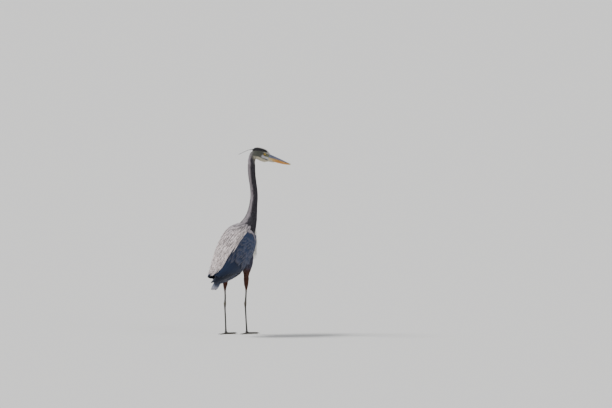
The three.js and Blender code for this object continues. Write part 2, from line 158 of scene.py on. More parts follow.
# Each leg's axis from the thigh to the foot: [forward, out, height, half width, depth ahead, depth behind].
LEG_STATIONS = {
    "right": [
        [46, 42, 350, 11, 12, 12],
        [46, 42, 304, 7.2, 7.2, 7.6],
        [46, 42, 284, 5.4, 5.4, 5.6],
        [43, 42, 236, 4.8, 5, 5],
        [40, 42, 206, 5.6, 5.6, 6.2],
        [38, 42, 190, 7.5, 7, 9],
        [38, 42, 176, 6.2, 6, 7.4],
        [39, 42, 158, 4.6, 5, 5.5],
        [44, 42, 90, 4.2, 5, 5],
        [49, 42, 34, 4.8, 5.5, 5.5],
        [50, 42, 12, 7, 7, 7],
        [50, 42, 4, 5, 5, 5],
    ],
    "left": [
        [-48, 43, 350, 12.5, 13, 14],
        [-55, 42, 296, 6.8, 6.8, 7.2],
        [-56, 42, 278, 5.4, 5.4, 5.6],
        [-54, 42, 234, 4.8, 5, 5],
        [-55, 42, 206, 5.6, 5.6, 6.2],
        [-56, 42, 190, 7.5, 7, 9],
        [-56, 42, 176, 6.2, 6, 7.4],
        [-56, 42, 158, 4.6, 5, 5.5],
        [-52, 42, 90, 4.2, 5, 5],
        [-49, 42, 34, 4.8, 5.5, 5.5],
        [-48, 42, 12, 7, 7, 7],
        [-48, 42, 4, 5, 5, 5],
    ],
}
THIGH_LINES = {
    "right": [at(32, -56, 520), at(41, -52, 436), at(46, -44, 374), at(46, -42, 284)],
    "left": [at(-2, 55, 500), at(-24, 51, 416), at(-48, 43, 336), at(-56, 42, 278)],
}
# The toes: degrees out from straight ahead, sizes, and where along each toe its joint pads are.
TOES = {
    "middle": SimpleNamespace(spread=3, length=88, radius=5.2, claw=15, bends=(0.36, 0.66, 0.86)),
    "outer": SimpleNamespace(spread=34, length=72, radius=4.8, claw=13, bends=(0.34, 0.6, 0.82)),
    "inner": SimpleNamespace(spread=-31, length=64, radius=4.8, claw=13, bends=(0.4, 0.75)),
    "hind": SimpleNamespace(spread=176, length=46, radius=4.6, claw=22, bends=(0.5,)),
}


# ---- curves and meshes ----


def smooth_line(stations, shares):
    """Points of a smooth curve through the stations, at shares from 0 to 1 of its run."""
    stations = np.asarray(stations, float)
    last = len(stations) - 1
    place = np.clip(np.atleast_1d(shares), 0, 1) * last
    index = np.minimum(place.astype(int), last - 1)
    f = (place - index)[:, None]
    padded = np.vstack((2 * stations[0] - stations[1], stations, 2 * stations[-1] - stations[-2]))
    a, b, c, d = (padded[index + k] for k in range(4))
    return 0.5 * (2 * b + (c - a) * f + (2 * a - 5 * b + 4 * c - d) * f**2 + (3 * b - a - 3 * c + d) * f**3)


def unit(vectors):
    return vectors / np.maximum(np.linalg.norm(vectors, axis=-1, keepdims=True), 1e-9)


def ramp(low, high, x):
    """A smooth rise from 0 to 1 as x goes from low to high, whichever of the two is larger."""
    share = np.clip((np.asarray(x, float) - low) / (high - low), 0, 1)
    return share * share * (3 - 2 * share)


def round_angles(count):
    return np.linspace(0, 2 * math.pi, count, endpoint=False)


def bump_at(x, middle, width):
    """A smooth hill, 1 at its middle."""
    return np.exp(-(((np.asarray(x, float) - middle) / width) ** 2))


def line_axes(stations, shares):
    """At shares of a curve: the places, the tangents, and the section's sideways and outward directions."""
    places = smooth_line(stations, shares)
    step = 1e-3
    ahead, behind = smooth_line(stations, shares + step), smooth_line(stations, shares - step)
    tangents = unit(ahead - behind)
    sideways = unit(LEFT - tangents * (tangents @ LEFT)[:, None])
    return places, tangents, sideways, np.cross(tangents, sideways)


def link(mesh, name):
    made = bpy.data.objects.new(name, mesh)
    bpy.context.scene.collection.objects.link(made)
    return made


def mesh_object(name, points, faces):
    mesh = bpy.data.meshes.new(name)
    mesh.from_pydata([tuple(p) for p in points], [], faces)
    shade_smooth(mesh)
    return link(mesh, name)


def shade_smooth(mesh):
    mesh.polygons.foreach_set("use_smooth", [True] * len(mesh.polygons))


def ringed_form(name, rings):
    """A closed form from rings of points, each end closed on a middle point."""
    count, around = rings.shape[:2]
    points = np.vstack((rings.reshape(-1, 3), rings[0].mean(0), rings[-1].mean(0)))
    last_ring, first, last = (count - 1) * around, count * around, count * around + 1
    faces = []
    for j in range(around):
        k = (j + 1) % around
        for start in range(0, last_ring, around):
            beyond = start + around
            faces.append((start + j, start + k, beyond + k, beyond + j))
        faces.append((first, k, j))
        faces.append((last, last_ring + j, last_ring + k))
    made = mesh_object(name, points, faces)
    point_outwards(made)
    return made


def point_outwards(made):
    """Merges corners at one place and turns every face outwards."""
    form = bmesh.new()
    form.from_mesh(made.data)
    bmesh.ops.remove_doubles(form, verts=form.verts, dist=1e-6)
    bmesh.ops.recalc_face_normals(form, faces=form.faces)
    form.to_mesh(made.data)
    form.free()


def keep_corners(made, kept):
    """Cuts a mesh down to the corners that are kept."""
    form = bmesh.new()
    form.from_mesh(made.data)
    bmesh.ops.delete(form, geom=[v for v, keep in zip(form.verts, kept) if not keep], context="VERTS")
    form.to_mesh(made.data)
    form.free()


def corner_field(made, field):
    values = np.empty(len(made.data.vertices) * 3, np.float32)
    made.data.vertices.foreach_get(field, values)
    return values.reshape(-1, 3).astype(float)


def points_of(made):
    return corner_field(made, "co")


def normals_of(made):
    return corner_field(made, "normal")


def put_points(made, places):
    made.data.vertices.foreach_set("co", places.astype(np.float32).ravel())
    made.data.update()


def edges_of(made):
    edges = np.empty(len(made.data.edges) * 2, np.int32)
    made.data.edges.foreach_get("vertices", edges)
    return edges.reshape(-1, 2)


def spread_smooth(values, edges, rounds):
    """Values at corners, evened out over the edges between them."""
    values = np.array(values, float)
    flat = values.reshape(len(values), -1)
    degree = np.maximum(np.bincount(edges.ravel(), minlength=len(flat)), 1)[:, None]
    for _ in range(rounds):
        total = np.empty_like(flat)
        for k in range(flat.shape[1]):
            total[:, k] = np.bincount(edges[:, 0], flat[edges[:, 1], k], len(flat))
            total[:, k] += np.bincount(edges[:, 1], flat[edges[:, 0], k], len(flat))
        flat = 0.5 * flat + 0.5 * total / degree
    return flat.reshape(values.shape)


# Kinds of attribute, by how many numbers each corner has.
KINDS = {1: ("FLOAT", "value"), 3: ("FLOAT_VECTOR", "vector"), 4: ("FLOAT_COLOR", "color")}


def give(made, name, values):
    """Stores a number, vector or colour at each corner of a mesh, under a name."""
    values = np.asarray(values, np.float32).reshape(len(made.data.vertices), -1)
    kind, field = KINDS[values.shape[1]]
    attribute = made.data.attributes.get(name) or made.data.attributes.new(name, kind, "POINT")
    attribute.data.foreach_set(field, values.ravel())


def give_colours(made, colours):
    """Stores the plumage's colour at each corner of a mesh."""
    paint = np.ones((len(made.data.vertices), 4))
    paint[:, :3] = colours
    give(made, "coat_colour", paint)


def read(made, name, size=1):
    field = KINDS[size][1]
    values = np.empty(len(made.data.vertices) * size, np.float32)
    made.data.attributes[name].data.foreach_get(field, values)
    return values.reshape(-1, size).squeeze()


def forget(made, *names):
    """Removes values stored at a mesh's corners that nothing needs any more."""
    attributes = made.data.attributes
    for name in names:
        if name in attributes:
            attributes.remove(attributes[name])


def applied(made, name=None):
    """The object with its modifiers made part of a plain mesh."""
    bpy.context.view_layer.update()
    evaluated = made.evaluated_get(bpy.context.evaluated_depsgraph_get())
    mesh = bpy.data.meshes.new_from_object(evaluated)
    made.modifiers.clear()
    made.data = mesh
    mesh.name = name or made.name
    return made


def choose(*pieces):
    """Selects these objects only, and makes the first of them the active one."""
    bpy.ops.object.select_all(action="DESELECT")
    for piece in pieces:
        piece.select_set(True)
    bpy.context.view_layer.objects.active = pieces[0]


def joined(name, pieces):
    """One object from several, which are used up."""
    choose(*pieces)
    bpy.ops.object.join()
    pieces[0].name = name
    pieces[0].data.name = name
    return pieces[0]


def node_form(node):
    """A merged copy of a solid of the frame."""
    mesh = frame["nodes"][node].data.copy()
    mesh.materials.clear()
    made = link(mesh, "form_" + node)
    point_outwards(made)
    return made


def drop(*objects):
    for made in objects:
        bpy.data.objects.remove(made)


def piece_done(piece, slot, *nodes):
    """Attaches a finished piece to the root body and hides the solids that it stands for; its slot is not
    used.
    """
    piece.data.update()
    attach(piece, "root")
    if nodes:
        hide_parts(*nodes)


# ---- node graphs ----


class Graph:
    """A node tree that is written as calls: each node takes its inputs by name, as values or as sockets."""

    def __init__(self, tree):
        self.tree = tree

    def add(self, kind, _inputs=None, _out=None, **settings):
        node = self.tree.nodes.new(kind)
        for name, value in settings.items():
            setattr(node, name, value)
        self.fill(node, _inputs or {})
        return self.out(node, _out) if _out is not None else node

    def socket(self, sockets, name):
        if isinstance(name, int):
            return sockets[name]
        named = [s for s in sockets if s.name == name]
        return next((s for s in named if s.enabled), named[0])

    def out(self, node, name):
        return self.socket(node.outputs, name)

    def put(self, node, name, value):
        socket = self.socket(node.inputs, name)
        if isinstance(value, bpy.types.NodeSocket):
            self.tree.links.new(value, socket)
        else:
            socket.default_value = value

    def fill(self, node, inputs):
        for name, value in inputs.items():
            self.put(node, name, value)

    def maths(self, operation, a, b=0.0, c=0.0):
        return self.add("ShaderNodeMath", {0: a, 1: b, 2: c}, 0, operation=operation)

    def plus(self, a, b):
        return self.maths("ADD", a, b)

    def minus(self, a, b):
        return self.maths("SUBTRACT", a, b)

    def times(self, a, b):
        return self.maths("MULTIPLY", a, b)

    def times_plus(self, a, b, c):
        """a times b, plus c."""
        return self.maths("MULTIPLY_ADD", a, b, c)

    def vectors(self, operation, a, b):
        return self.add("ShaderNodeVectorMath", {0: a, 1: b}, 0, operation=operation)

    def scaled(self, vector, scale):
        return self.add("ShaderNodeVectorMath", {0: vector, "Scale": scale}, 0, operation="SCALE")

    def mix(self, share, a, b):
        return self.add("ShaderNodeMix", {0: share, 6: a, 7: b}, 2, data_type="RGBA")

    def step(self, low, high, x):
        """A smooth rise from 0 to 1 as x goes from low to high."""
        inputs = {"Value": x, "From Min": low, "From Max": high}
        return self.add("ShaderNodeMapRange", inputs, 0, interpolation_type="SMOOTHSTEP")

    def attribute(self, name, out="Fac"):
        return self.add("ShaderNodeAttribute", _out=out, attribute_name=name)

    def place(self):
        return self.add("ShaderNodeTexCoord", _out="Object")

    def noise(self, place, scale, detail):
        return self.add("ShaderNodeTexNoise", {"Vector": place, "Scale": scale, "Detail": detail}, "Fac")


# ---- the skin ----

NECK_NODES = ("neck_upper", "neck_middle", "neck_lower", "neck_base")
THIGH_NODES = ("thigh_left", "thigh_right")
COVERT_NODES = ("wing_left_coverts", "wing_right_coverts")
FLESH = ("head", *NECK_NODES, "trunk", *THIGH_NODES, *COVERT_NODES)
LEG_NODES = tuple(f"{part}_{side}" for side, _ in HANDS for part in ("shank", "tarsus"))
TOE_NODES = tuple(f"toe_{side}_{toe}" for side, _ in HANDS for toe in TOES)
SKIN_NODES = ("head", *NECK_NODES, "trunk", *THIGH_NODES, *LEG_NODES, *TOE_NODES)

# How thick each tract's coat is.
COAT_DEPTHS = {"head": 2.0, "neck": 3.8, "trunk": 8.0, "thigh": 5.0, "wing": 5.0}
EYE_FORWARD, EYE_OUT, EYE_UP, EYE_RADIUS = -27, 13.2, 5, 9.5
GAPE = -5
LEG_STEPS, LEG_AROUND = 250, 20
TOE_STEPS, TOE_AROUND = 56, 16
SCUTE = 5.2
TOE_SCUTE = 3.4
# In metres, how far a ray starts inside the skin and reaches, to find what covers it.
RAY_SETBACK, RAY_REACH = 0.004, 0.045
# The section of an eye's lids: [degrees past the edge of the opening, height over the ball].
LID_SECTION = [
    (-1.0, 0.12), (-0.7, 0.5), (0.6, 0.8), (3.5, 0.85), (10, 0.5), (20, 0.35), (32, 0.9), (44, 1.6),
    (50, 2.4), (50, -2.0), (7, -0.5),
]


def metres(name, description, default):
    """A size in metres for the panel."""
    return FloatProperty(name=name, description=description, default=default, unit="LENGTH")


class HeronSkinSettings(bpy.types.PropertyGroup):
    """Sizes of the skin"""

    grain: metres("Grain", "Size of the faces of the skin", 0.0026)
    smoothing: IntProperty(name="Smoothing", description="Rounds of smoothing of the joined flesh", default=7)
    scute_height: metres("Scute height", "How far a scute's edge stands off the leg", 0.0004)


def search_tree(nodes):
    """A tree to search the solids' faces with, and which of the nodes each face belongs to."""
    corners, faces, owners = [], [], []
    for index, node in enumerate(nodes):
        mesh = frame["nodes"][node].data
        start = len(corners)
        corners += [v.co.copy() for v in mesh.vertices]
        faces += [[start + k for k in polygon.vertices] for polygon in mesh.polygons]
        owners += [index] * len(mesh.polygons)
    return BVHTree.FromPolygons(corners, faces), np.array(owners)


def nearest_nodes(points, nodes):
    """For each point, the index in nodes of the solid whose surface is nearest."""
    tree, owners = search_tree(nodes)
    return owners[[tree.find_nearest(Vector(p))[2] for p in points]]


def tract_of(points):
    """The name of the feather tract at each point."""
    nodes = FLESH + LEG_NODES + TOE_NODES
    names = np.array(
        ["head"] + ["neck"] * len(NECK_NODES) + ["trunk"] + ["thigh"] * 2 + ["wing"] * 2
        + ["leg"] * (len(LEG_NODES) + len(TOE_NODES))
    )
    return names[nearest_nodes(points, nodes)]


def flesh_form(settings):
    flesh = joined("heron_skin", [node_form(node) for node in FLESH])
    remesh = flesh.modifiers.new("one_form", "REMESH")
    remesh.mode = "VOXEL"
    remesh.voxel_size = settings.grain
    remesh.use_smooth_shade = True
    smooth = flesh.modifiers.new("even", "SMOOTH")
    smooth.factor = 0.5
    smooth.iterations = settings.smoothing
    applied(flesh)
    keep_largest_shell(flesh)
    return flesh


def keep_largest_shell(made):
    """Removes the small closed pockets that remeshing leaves between solids that nearly touch."""
    form = bmesh.new()
    form.from_mesh(made.data)
    shell = np.full(len(form.verts), -1)
    count = 0
    for seed in form.verts:
        if shell[seed.index] >= 0:
            continue
        shell[seed.index] = count
        stack = [seed]
        while stack:
            for edge in stack.pop().link_edges:
                for corner in edge.verts:
                    if shell[corner.index] < 0:
                        shell[corner.index] = count
                        stack.append(corner)
        count += 1
    form.free()
    keep_corners(made, shell == np.bincount(shell).argmax())


def leg_form(side, hand, settings):
    """A shank and tarsus with their hock, its front ringed with scutes."""
    stations = [
        [*at(forward, hand * out, height), *(MM * np.array(section))]
        for forward, out, height, *section in LEG_STATIONS[side]
    ]
    shares = np.linspace(0, 1, LEG_STEPS)
    places, _, across, ahead = line_axes([s[:3] for s in stations], shares)
    section = smooth_line([s[3:] for s in stations], shares)
    angles = round_angles(LEG_AROUND)
    sideways, forwards = np.cos(angles), np.sin(angles)
    depth = np.where(forwards > 0, section[:, 1:2], section[:, 2:3])
    height = places[:, 2:3] / MM
    tooth = ((height / SCUTE) % 1.0) ** 2
    below_thigh = 1 - ramp(285, 320, height)
    relief = settings.scute_height * tooth * ramp(0.1, 0.7, forwards) * below_thigh
    rings = (
        places[:, None]
        + across[:, None] * (sideways * (section[:, :1] + relief))[..., None]
        + ahead[:, None] * (forwards * (depth + relief))[..., None]
    )
    return ringed_form(f"leg_{side}", rings)


def by_toe(side, hand, toe, forward, sideways, rise):
    """Places in a toe's own frame, which starts under the leg and runs along the toe."""
    turn = math.radians(hand * toe.spread)
    along = forward[:, None] + 0 * sideways
    left = sideways * math.cos(turn) + along * math.sin(turn)
    ahead = along * math.cos(turn) - sideways * math.sin(turn)
    return at(FOOT_FORWARD[side] + ahead, hand * HIP_HALF_WIDTH + left, rise)


def toe_form(side, hand, name, toe):
    """One toe, flat underneath, with scutes above, joint pads below and its root in the foot's pad."""
    length, radius = toe.length, toe.radius
    stations = [
        [2, radius + 1.5, radius, radius],
        [length * 0.3, radius - 0.6, radius * 0.92, radius],
        [length * 0.65, radius * 0.78 - 0.6, radius * 0.8, radius * 0.9],
        [length, radius * 0.6 - 0.4, radius * 0.58, radius * 0.7],
    ]
    shares = np.linspace(0, 1, TOE_STEPS)
    forward, height, half, below = smooth_line(stations, shares).T
    joints = sum(bump_at(shares, bend, 0.05) for bend in toe.bends)
    end = np.sqrt(1 - ramp(0.9, 1.04, shares) ** 2)
    half = half * (1 + 0.1 * joints) * end
    angles = round_angles(TOE_AROUND)
    tooth = ((forward / TOE_SCUTE) % 1.0) ** 2 * 0.32
    up = np.sin(angles)[None]
    sideways = np.cos(angles)[None] * half[:, None]
    top = height[:, None] + up * (half[:, None] + tooth[:, None] * ramp(0.2, 0.9, up))
    bottom = height[:, None] + up * below[:, None] * (1 + 0.08 * joints[:, None])
    rise = np.maximum(np.where(up > 0, top, bottom), 0.0)
    return ringed_form(f"toe_{side}_{name}", by_toe(side, hand, toe, forward, sideways, rise))


def foot_pad(side, hand):
    """The ball of the foot, with a short web between its outer and middle toes."""
    shares = np.linspace(0.03, 0.97, 14)
    angles = round_angles(24)
    lean = np.maximum(np.cos(angles - math.radians(90 - hand * 18)), 0) ** 6
    radius = np.sin(math.pi * shares)[:, None] * (9.2 + 7.5 * lean[None])
    height = 8.4 - 9.2 * np.cos(math.pi * shares)[:, None] * (1 - 0.45 * lean[None])
    height = np.clip(height, 0.0, None)
    rings = at(
        FOOT_FORWARD[side] + radius * np.sin(angles), hand * HIP_HALF_WIDTH + radius * np.cos(angles), height
    )
    return ringed_form(f"pad_{side}", rings)


def add_union(made, other):
    cut = made.modifiers.new("union_" + other.name, "BOOLEAN")
    cut.operation = "UNION"
    cut.solver = "EXACT"
    cut.object = other
    applied(made)
    drop(other)


def coat_depth(points, tract, edges):
    """How thick the coat is over each point of the skin, in metres: thin at the bill, none on the legs."""
    depth = np.array([COAT_DEPTHS.get(name, 0.0) for name in tract])
    forward = head_place(points)[0]
    depth = depth * (1 - 0.6 * (tract == "head") * ramp(-50, -6, forward))
    depth = depth * ramp(286, 330, np.where(tract == "thigh", points[:, 2] / MM, 400))
    return MM * spread_smooth(depth, edges, 12)


def gape_and_brow(points, normals):
    """Folds of the bare face: the groove that runs back from the gape, the brow and the rim of the lore."""
    forward, left, up = head_place(points)
    side = ramp(6, 11, abs(left))
    groove = gape_line(forward, up) * side
    brow = bump_at(up, 14.5, 3.2) * bump_at(forward, -24, 13) * side
    lore = bump_at(up, 1.5, 5.5) * bump_at(forward, -9, 8) * side
    front = bump_at(forward, 2, 7) * (1.4 * ramp(7, 13, up) + 1.5 * ramp(-13, -19, up))
    nape = 7.5 * bump_at(forward, -114, 15) * bump_at(up, -8, 22)
    return points + normals * (MM * (1.5 * brow - 1.2 * groove - 1.4 * lore + front + nape))[:, None]


def lid_ring(hand):
    """The lids of one eye, as a rounded rim that follows the ball, flares down and sinks into the face."""
    centre = np.array((EYE_FORWARD, hand * EYE_OUT, EYE_UP), float)
    angles = round_angles(48)
    opening = 36 + 3.5 * np.cos(angles) ** 2 - 3 * np.maximum(np.sin(angles), 0)
    rings = []
    for spread, lift in LID_SECTION:
        polar = np.radians(opening + spread)
        reach = EYE_RADIUS + lift
        forward = centre[0] + reach * np.sin(polar) * np.cos(angles)
        up = centre[2] + reach * np.sin(polar) * np.sin(angles)
        out = centre[1] + hand * reach * np.cos(polar)
        rings.append(in_head(forward, out, up))
    rings = np.array(rings)
    count, around = rings.shape[:2]
    faces = []
    for start in range(0, count * around, around):
        beyond = (start + around) % (count * around)
        for j in range(around):
            k = (j + 1) % around
            faces.append((start + j, start + k, beyond + k, beyond + j))
    made = mesh_object("lids", rings.reshape(-1, 3), faces)
    point_outwards(made)
    return made


# The middle of the bird, from the bill to the tail.
BODY_LINE = [
    in_head(20, 0, -10), in_head(-14, 0, -4), in_head(-45, 0, 0), *reversed(NECK_LINE),
    on_body(-10, 0, 0), on_body(-110, 0, 5), on_body(-215, 0, 0), on_body(-275, 0, -26),
]


def nearest_on_line(points, stations, samples=220):
    """For each point: its share of a curve's run, the offset from the curve there, and the curve's axes."""
    shares = np.linspace(0, 1, samples)
    places, tangents, across, out = line_axes(stations, shares)
    index = np.concatenate([
        ((chunk[:, None] - places[None]) ** 2).sum(-1).argmin(1)
        for chunk in np.array_split(points, max(len(points) // 4000, 1))
    ])
    return shares[index], points - places[index], tangents[index], across[index], out[index]


def lie_of_coat(points, normals, tract, edges):
    """The way the feathers lie at each point: from the bill back, down the neck, and to the tail."""
    lie = nearest_on_line(points, BODY_LINE)[2]
    for side, hand in HANDS:
        mine = (tract == "thigh") & (hand * points[:, 0] > hand * ORIGIN[0])
        lie[mine] = nearest_on_line(points[mine], THIGH_LINES[side], 40)[2]
    wing = tract == "wing"
    lie[wing] = unit(on_body(-1, 0, 0) - on_body(0, 0, 0))
    lie = spread_smooth(lie, edges, 24)
    lie -= normals * (lie * normals).sum(1)[:, None]
    return unit(lie)


def store_lie(skin):
    """Keeps on the skin the way out and the lie of its feathers, and gives back what they came from."""
    points, normals, edges = points_of(skin), normals_of(skin), edges_of(skin)
    tract = tract_of(points)
    give(skin, "outward", unit(spread_smooth(normals, edges, 3)))
    give(skin, "lie", lie_of_coat(points, normals, tract, edges))
    return points, normals, edges, tract


def covered_by_wings(points, normals):
    """1 where a wing, scapular or tail solid hides the body, which needs no small feathers there."""
    nodes = [n for n in frame["nodes"] if n.startswith(("wing_", "scapulars_")) and n not in COVERT_NODES]
    tree = search_tree(nodes)[0]
    hits = [
        tree.ray_cast(Vector(point - normal * RAY_SETBACK), Vector(normal), RAY_REACH)[0]
        for point, normal in zip(points, normals)
    ]
    return np.array([hit is not None for hit in hits], float)


# ---- markings ----


def srgb(code):
    """A colour written as six hexadecimal digits, as linear red, green and blue."""
    parts = [int(code[i:i + 2], 16) / 255 for i in (0, 2, 4)]
    return tuple(p / 12.92 if p <= 0.04045 else ((p + 0.055) / 1.055) ** 2.4 for p in parts)


def colour(name, description, code):
    """A colour for the panel, from six hexadecimal digits."""
    return FloatVectorProperty(name=name, description=description, default=srgb(code), subtype="COLOR")


class HeronColours(bpy.types.PropertyGroup):
    """Colours of the plumage and the bare parts"""

    crown: colour("Crown", "Middle of the crown and the forehead", "c4c0bd")
    cap: colour("Cap stripe", "Black stripe over the eye and the long crest plumes", "121117")
    # Painted shade: the bird's cheek is white, and this colour is darkened to stand for shade on the side of
    # the face.
    cheek_painted_shade: colour("Cheek", "Side of the face behind the eye", "65675d")
    jaw: colour("Jaw", "White patch below the eye", "e2e0e4")
    chin: colour("Chin", "Chin and throat", "e9e0c6")
    lore: colour("Lore", "Bare skin between the eye and the bill", "595b3e")
    lower_edge: colour("Lore's edge", "Bare skin where it meets the bill", "8f8a45")
    # Partly painted shade: darker than the neck's own mauve-grey, to stand for shade down its sides.
    neck: colour("Neck", "Sides of the neck", "2d2833")
    # Partly painted light: the nape's own paler grey, made paler still to stand for light along the back of
    # the neck.
    nape: colour("Nape", "Back of the neck", "a99fa5")
    foreneck: colour("Foreneck", "White feathers down the front of the neck", "cfcac2")
    streak: colour("Streak", "Dark streaks of the foreneck and breast", "26222a")
    # Mantle and scapular are partly painted light: paler and warmer than the bird's own grey, to stand for
    # strong light on the back.
    mantle: colour("Mantle", "Upper back", "b8aeb3")
    scapular: colour("Scapular", "Long plumes over the wings", "e8dbd8")
    # Covert and flight feather are partly painted shade: darker and bluer than the wing's own slate grey, to
    # stand for shade over the wing.
    covert: colour("Covert", "Small feathers of the wing", "2c3b59")
    flight: colour("Flight feather", "Secondaries and tertials", "15213a")
    tip: colour("Wing tip", "Primaries", "0b1426")
    shoulder: colour("Shoulder", "Dark patch at the bend of the wing", "1d1c22")
    rufous: colour("Rufous", "Bend of the wing and thighs", "4a210c")
    flank: colour("Flank", "Sides of the body below the wing", "3d4861")
    belly: colour("Belly", "Belly beside its middle", "2c2d36")
    vent: colour("Vent", "Middle of the belly and below the tail", "a3a1a4")
    tail: colour("Tail", "Tail feathers", "4a5367")
    leg: colour("Leg", "Scutes of the legs and feet", "37332f")
    leg_yellow: colour("Leg glow", "Paler skin at the joints and the backs of the legs", "6f6440")


def tones(settings):
    """Every colour of the plumage, as arrays by name."""
    return SimpleNamespace(**{key: np.array(getattr(settings, key)) for key in HeronColours.__annotations__})


def blend(base, over, share):
    """base with over laid on it, where share is 1."""
    share = np.clip(np.broadcast_to(share, base.shape[:1]), 0, 1)[:, None]
    return base * (1 - share) + over * share


def body_place(points):
    """For each point: how far along the bird from the bill, and how far round to the front and a side."""
    share, offset, _, across, out = nearest_on_line(points, BODY_LINE)
    steps = np.linspace(0, 1, 400)
    run = smooth_line(BODY_LINE, steps)
    total = np.linalg.norm(np.diff(run, axis=0), axis=1).cumsum()
    along = np.interp(share, steps[1:], total) / MM
    reach = np.maximum(np.linalg.norm(offset, axis=1), 1e-6)
    return along, (offset * out).sum(1) / reach, (offset * across).sum(1) / reach


# In the markings, forward, up, along and height are millimetres, and front and side are shares of the way
# round the bird.


def layered(points, base, *layers):
    """A colour at each point: the base, with each layer's colour laid over it by the layer's share."""
    made = np.tile(base, (len(points), 1))
    for colour_over, share in layers:
        made = blend(made, colour_over, share)
    return made


def head_markings(points, tone):
    forward, left, up = head_place(points)
    along = body_place(points)[0]
    throat = ramp(-22.5, -26, up + 0.12 * (forward + 30)) * ramp(-98, -78, forward)
    jaw = ramp(-2.5, -5.5, up) * ramp(-22, -17, up) * ramp(-44, -32, forward)
    stripe_floor = 15 + 0.12 * (forward + 56)
    width = 7.5 - 4.5 * ramp(-62, -92, forward)
    crown = ramp(width + 1.2, width - 1.2, abs(left)) * ramp(20, 24, up + 0.1 * forward + 3)
    crown = np.maximum(crown, ramp(-19, -12, forward) * ramp(9, 13, up))
    # The face's base is the cheek's colour, which is painted shade over the bird's white.
    return layered(
        points, tone.cheek_painted_shade,
        (tone.chin, throat),
        (tone.chin, ramp(-2, 8, forward) * ramp(-9, -13, up)),
        (neck_markings(points, tone), ramp(98, 140, along) * ramp(22, 12, up)),
        (tone.jaw, jaw),
        (tone.chin, bump_at(up, 14, 2.6) * ramp(-42, -30, forward) * 0.7),
        (tone.cap, ramp(-1.2, 1.2, up - stripe_floor) * ramp(-12, -18, forward)),
        (tone.crown, crown * ramp(-106, -92, forward)),
    )


def neck_markings(points, tone):
    along, front, _ = body_place(points)
    wave = np.sin(along * 0.3 + 5 * front) + 0.6 * np.sin(along * 0.13 - 9 * front)
    rows = bump_at(front, 0.84, 0.07) * ramp(-0.5, 0.4, wave)
    middle = bump_at(front, 0.99, 0.015) * ramp(0.2, 0.9, wave) * ramp(200, 300, along)
    # The neck's base colour is partly painted shade, and the nape's pale band partly painted light.
    return layered(
        points, tone.neck,
        (tone.nape, ramp(-0.82, -0.985, front)),
        (tone.cheek_painted_shade, 0.5 * ramp(200, 120, along) * ramp(-0.6, -0.2, front)),
        (tone.foreneck, ramp(0.74, 0.93, front) * ramp(90, 150, along)),
        (tone.streak, 0.85 * np.maximum(rows, middle) * ramp(120, 180, along)),
        (tone.chin, ramp(0.3, 0.75, front) * ramp(165, 110, along)),
    )


def trunk_markings(points, tone):
    along, front, side = body_place(points)
    turn = np.arctan2(side, front)
    streaks = np.sin(26 * turn + 0.8 * np.sin(along * 0.06)) + 0.5 * np.sin(along * 0.13 + 9 * turn)
    breast = ramp(0.72, 0.86, front) * ramp(770, 710, along)
    belly = ramp(0.74, 0.9, front) * ramp(700, 760, along)
    return layered(
        points, tone.mantle,
        (tone.flank, ramp(-0.15, 0.3, front)),
        (tone.foreneck, breast),
        (tone.streak, 0.8 * breast * ramp(0.35, 0.95, streaks)),
        (tone.belly, belly),
        (tone.vent, belly * ramp(0.965, 0.99, front)),
        (tone.flank * 0.7, ramp(0.1, 0.6, front) * ramp(860, 930, along) * 0.85),
        (tone.flank * 0.8, ramp(905, 950, along)),
    )


def wing_markings(points, tone):
    along, front, _ = body_place(points)
    return layered(
        points, tone.covert,
        (tone.flank, ramp(0.1, 0.42, front) * 0.6),
        (tone.shoulder, ramp(668, 640, along) * ramp(-0.35, -0.05, front)),
        (tone.rufous, bump_at(along, 626, 10) * ramp(0.0, 0.35, front) * 0.8),
    )


def thigh_markings(points, tone):
    return layered(points, tone.rufous, (tone.flank, ramp(395, 440, points[:, 2] / MM) * 0.8))


def leg_markings(points, tone):
    height = points[:, 2] / MM
    return layered(
        points, tone.leg,
        (tone.leg_yellow, bump_at(height, 190, 14) * 0.35),
        (tone.leg_yellow, ramp(6, 1, height) * 0.6),
        (tone.leg_yellow, ramp(225, 290, height) * 0.25),
    )


MARKINGS = {
    "head": head_markings, "neck": neck_markings, "trunk": trunk_markings,
    "wing": wing_markings, "thigh": thigh_markings, "leg": leg_markings,
}


def markings(points, tract, tone):
    """The colour of the plumage or skin at each point."""
    made = np.ones((len(points), 3))
    for name, paint in MARKINGS.items():
        mine = tract == name
        if mine.any():
            made[mine] = paint(points[mine], tone)
    return made


def bare_face(points):
    """1 on the bare skin: the lore, a ring round the eye, and the gape."""
    forward, left, up = head_place(points)
    side = ramp(5, 9, abs(left))
    ring = ramp(9.6, 8.8, from_eye(forward, up)) * ramp(8, 12, abs(left))
    lore = ramp(-27, -23, forward) * ramp(10, 8.5, up + 0.12 * forward) * ramp(-6.5, -4.5, up)
    return np.maximum(np.maximum(ring, lore * side), gape_line(forward, up) * side)


def from_eye(forward, up):
    """How far places on the side of the head are from the eye's middle."""
    return np.hypot(forward - EYE_FORWARD, up - EYE_UP)


def gape_line(forward, up):
    """1 along the crease that runs back from the gape to under the eye."""
    return bump_at(up, GAPE - 1.5 - 0.05 * np.minimum(forward, 0), 1.5) * ramp(-33, -26, forward)


def face_tone(points, tone):
    """The bare face's colour, yellower by the bill, with painted shade darkening it round the eye, along its
    top under the brow and in the crease of its gape.
    """
    forward, _, up = head_place(points)
    top = bump_at(up + 0.12 * forward, 9.5, 2.2) * ramp(-22, -16, forward)
    reach = from_eye(forward, up)
    return layered(
        points, tone.lore,
        (tone.lower_edge, 0.45 * ramp(-14, 0, forward) * ramp(4, -3, up)),
        # Painted shade in the crease of the gape, and under the brow along the top of the lore.
        (tone.cap, 0.75 * np.maximum(gape_line(forward, up), top)),
        # Painted shade in a ring round the eye, where the lids meet the face.
        (tone.cap, 0.6 * ramp(6.6, 8.6, reach) * ramp(11.5, 9.5, reach)),
    )


# ---- feathers ----

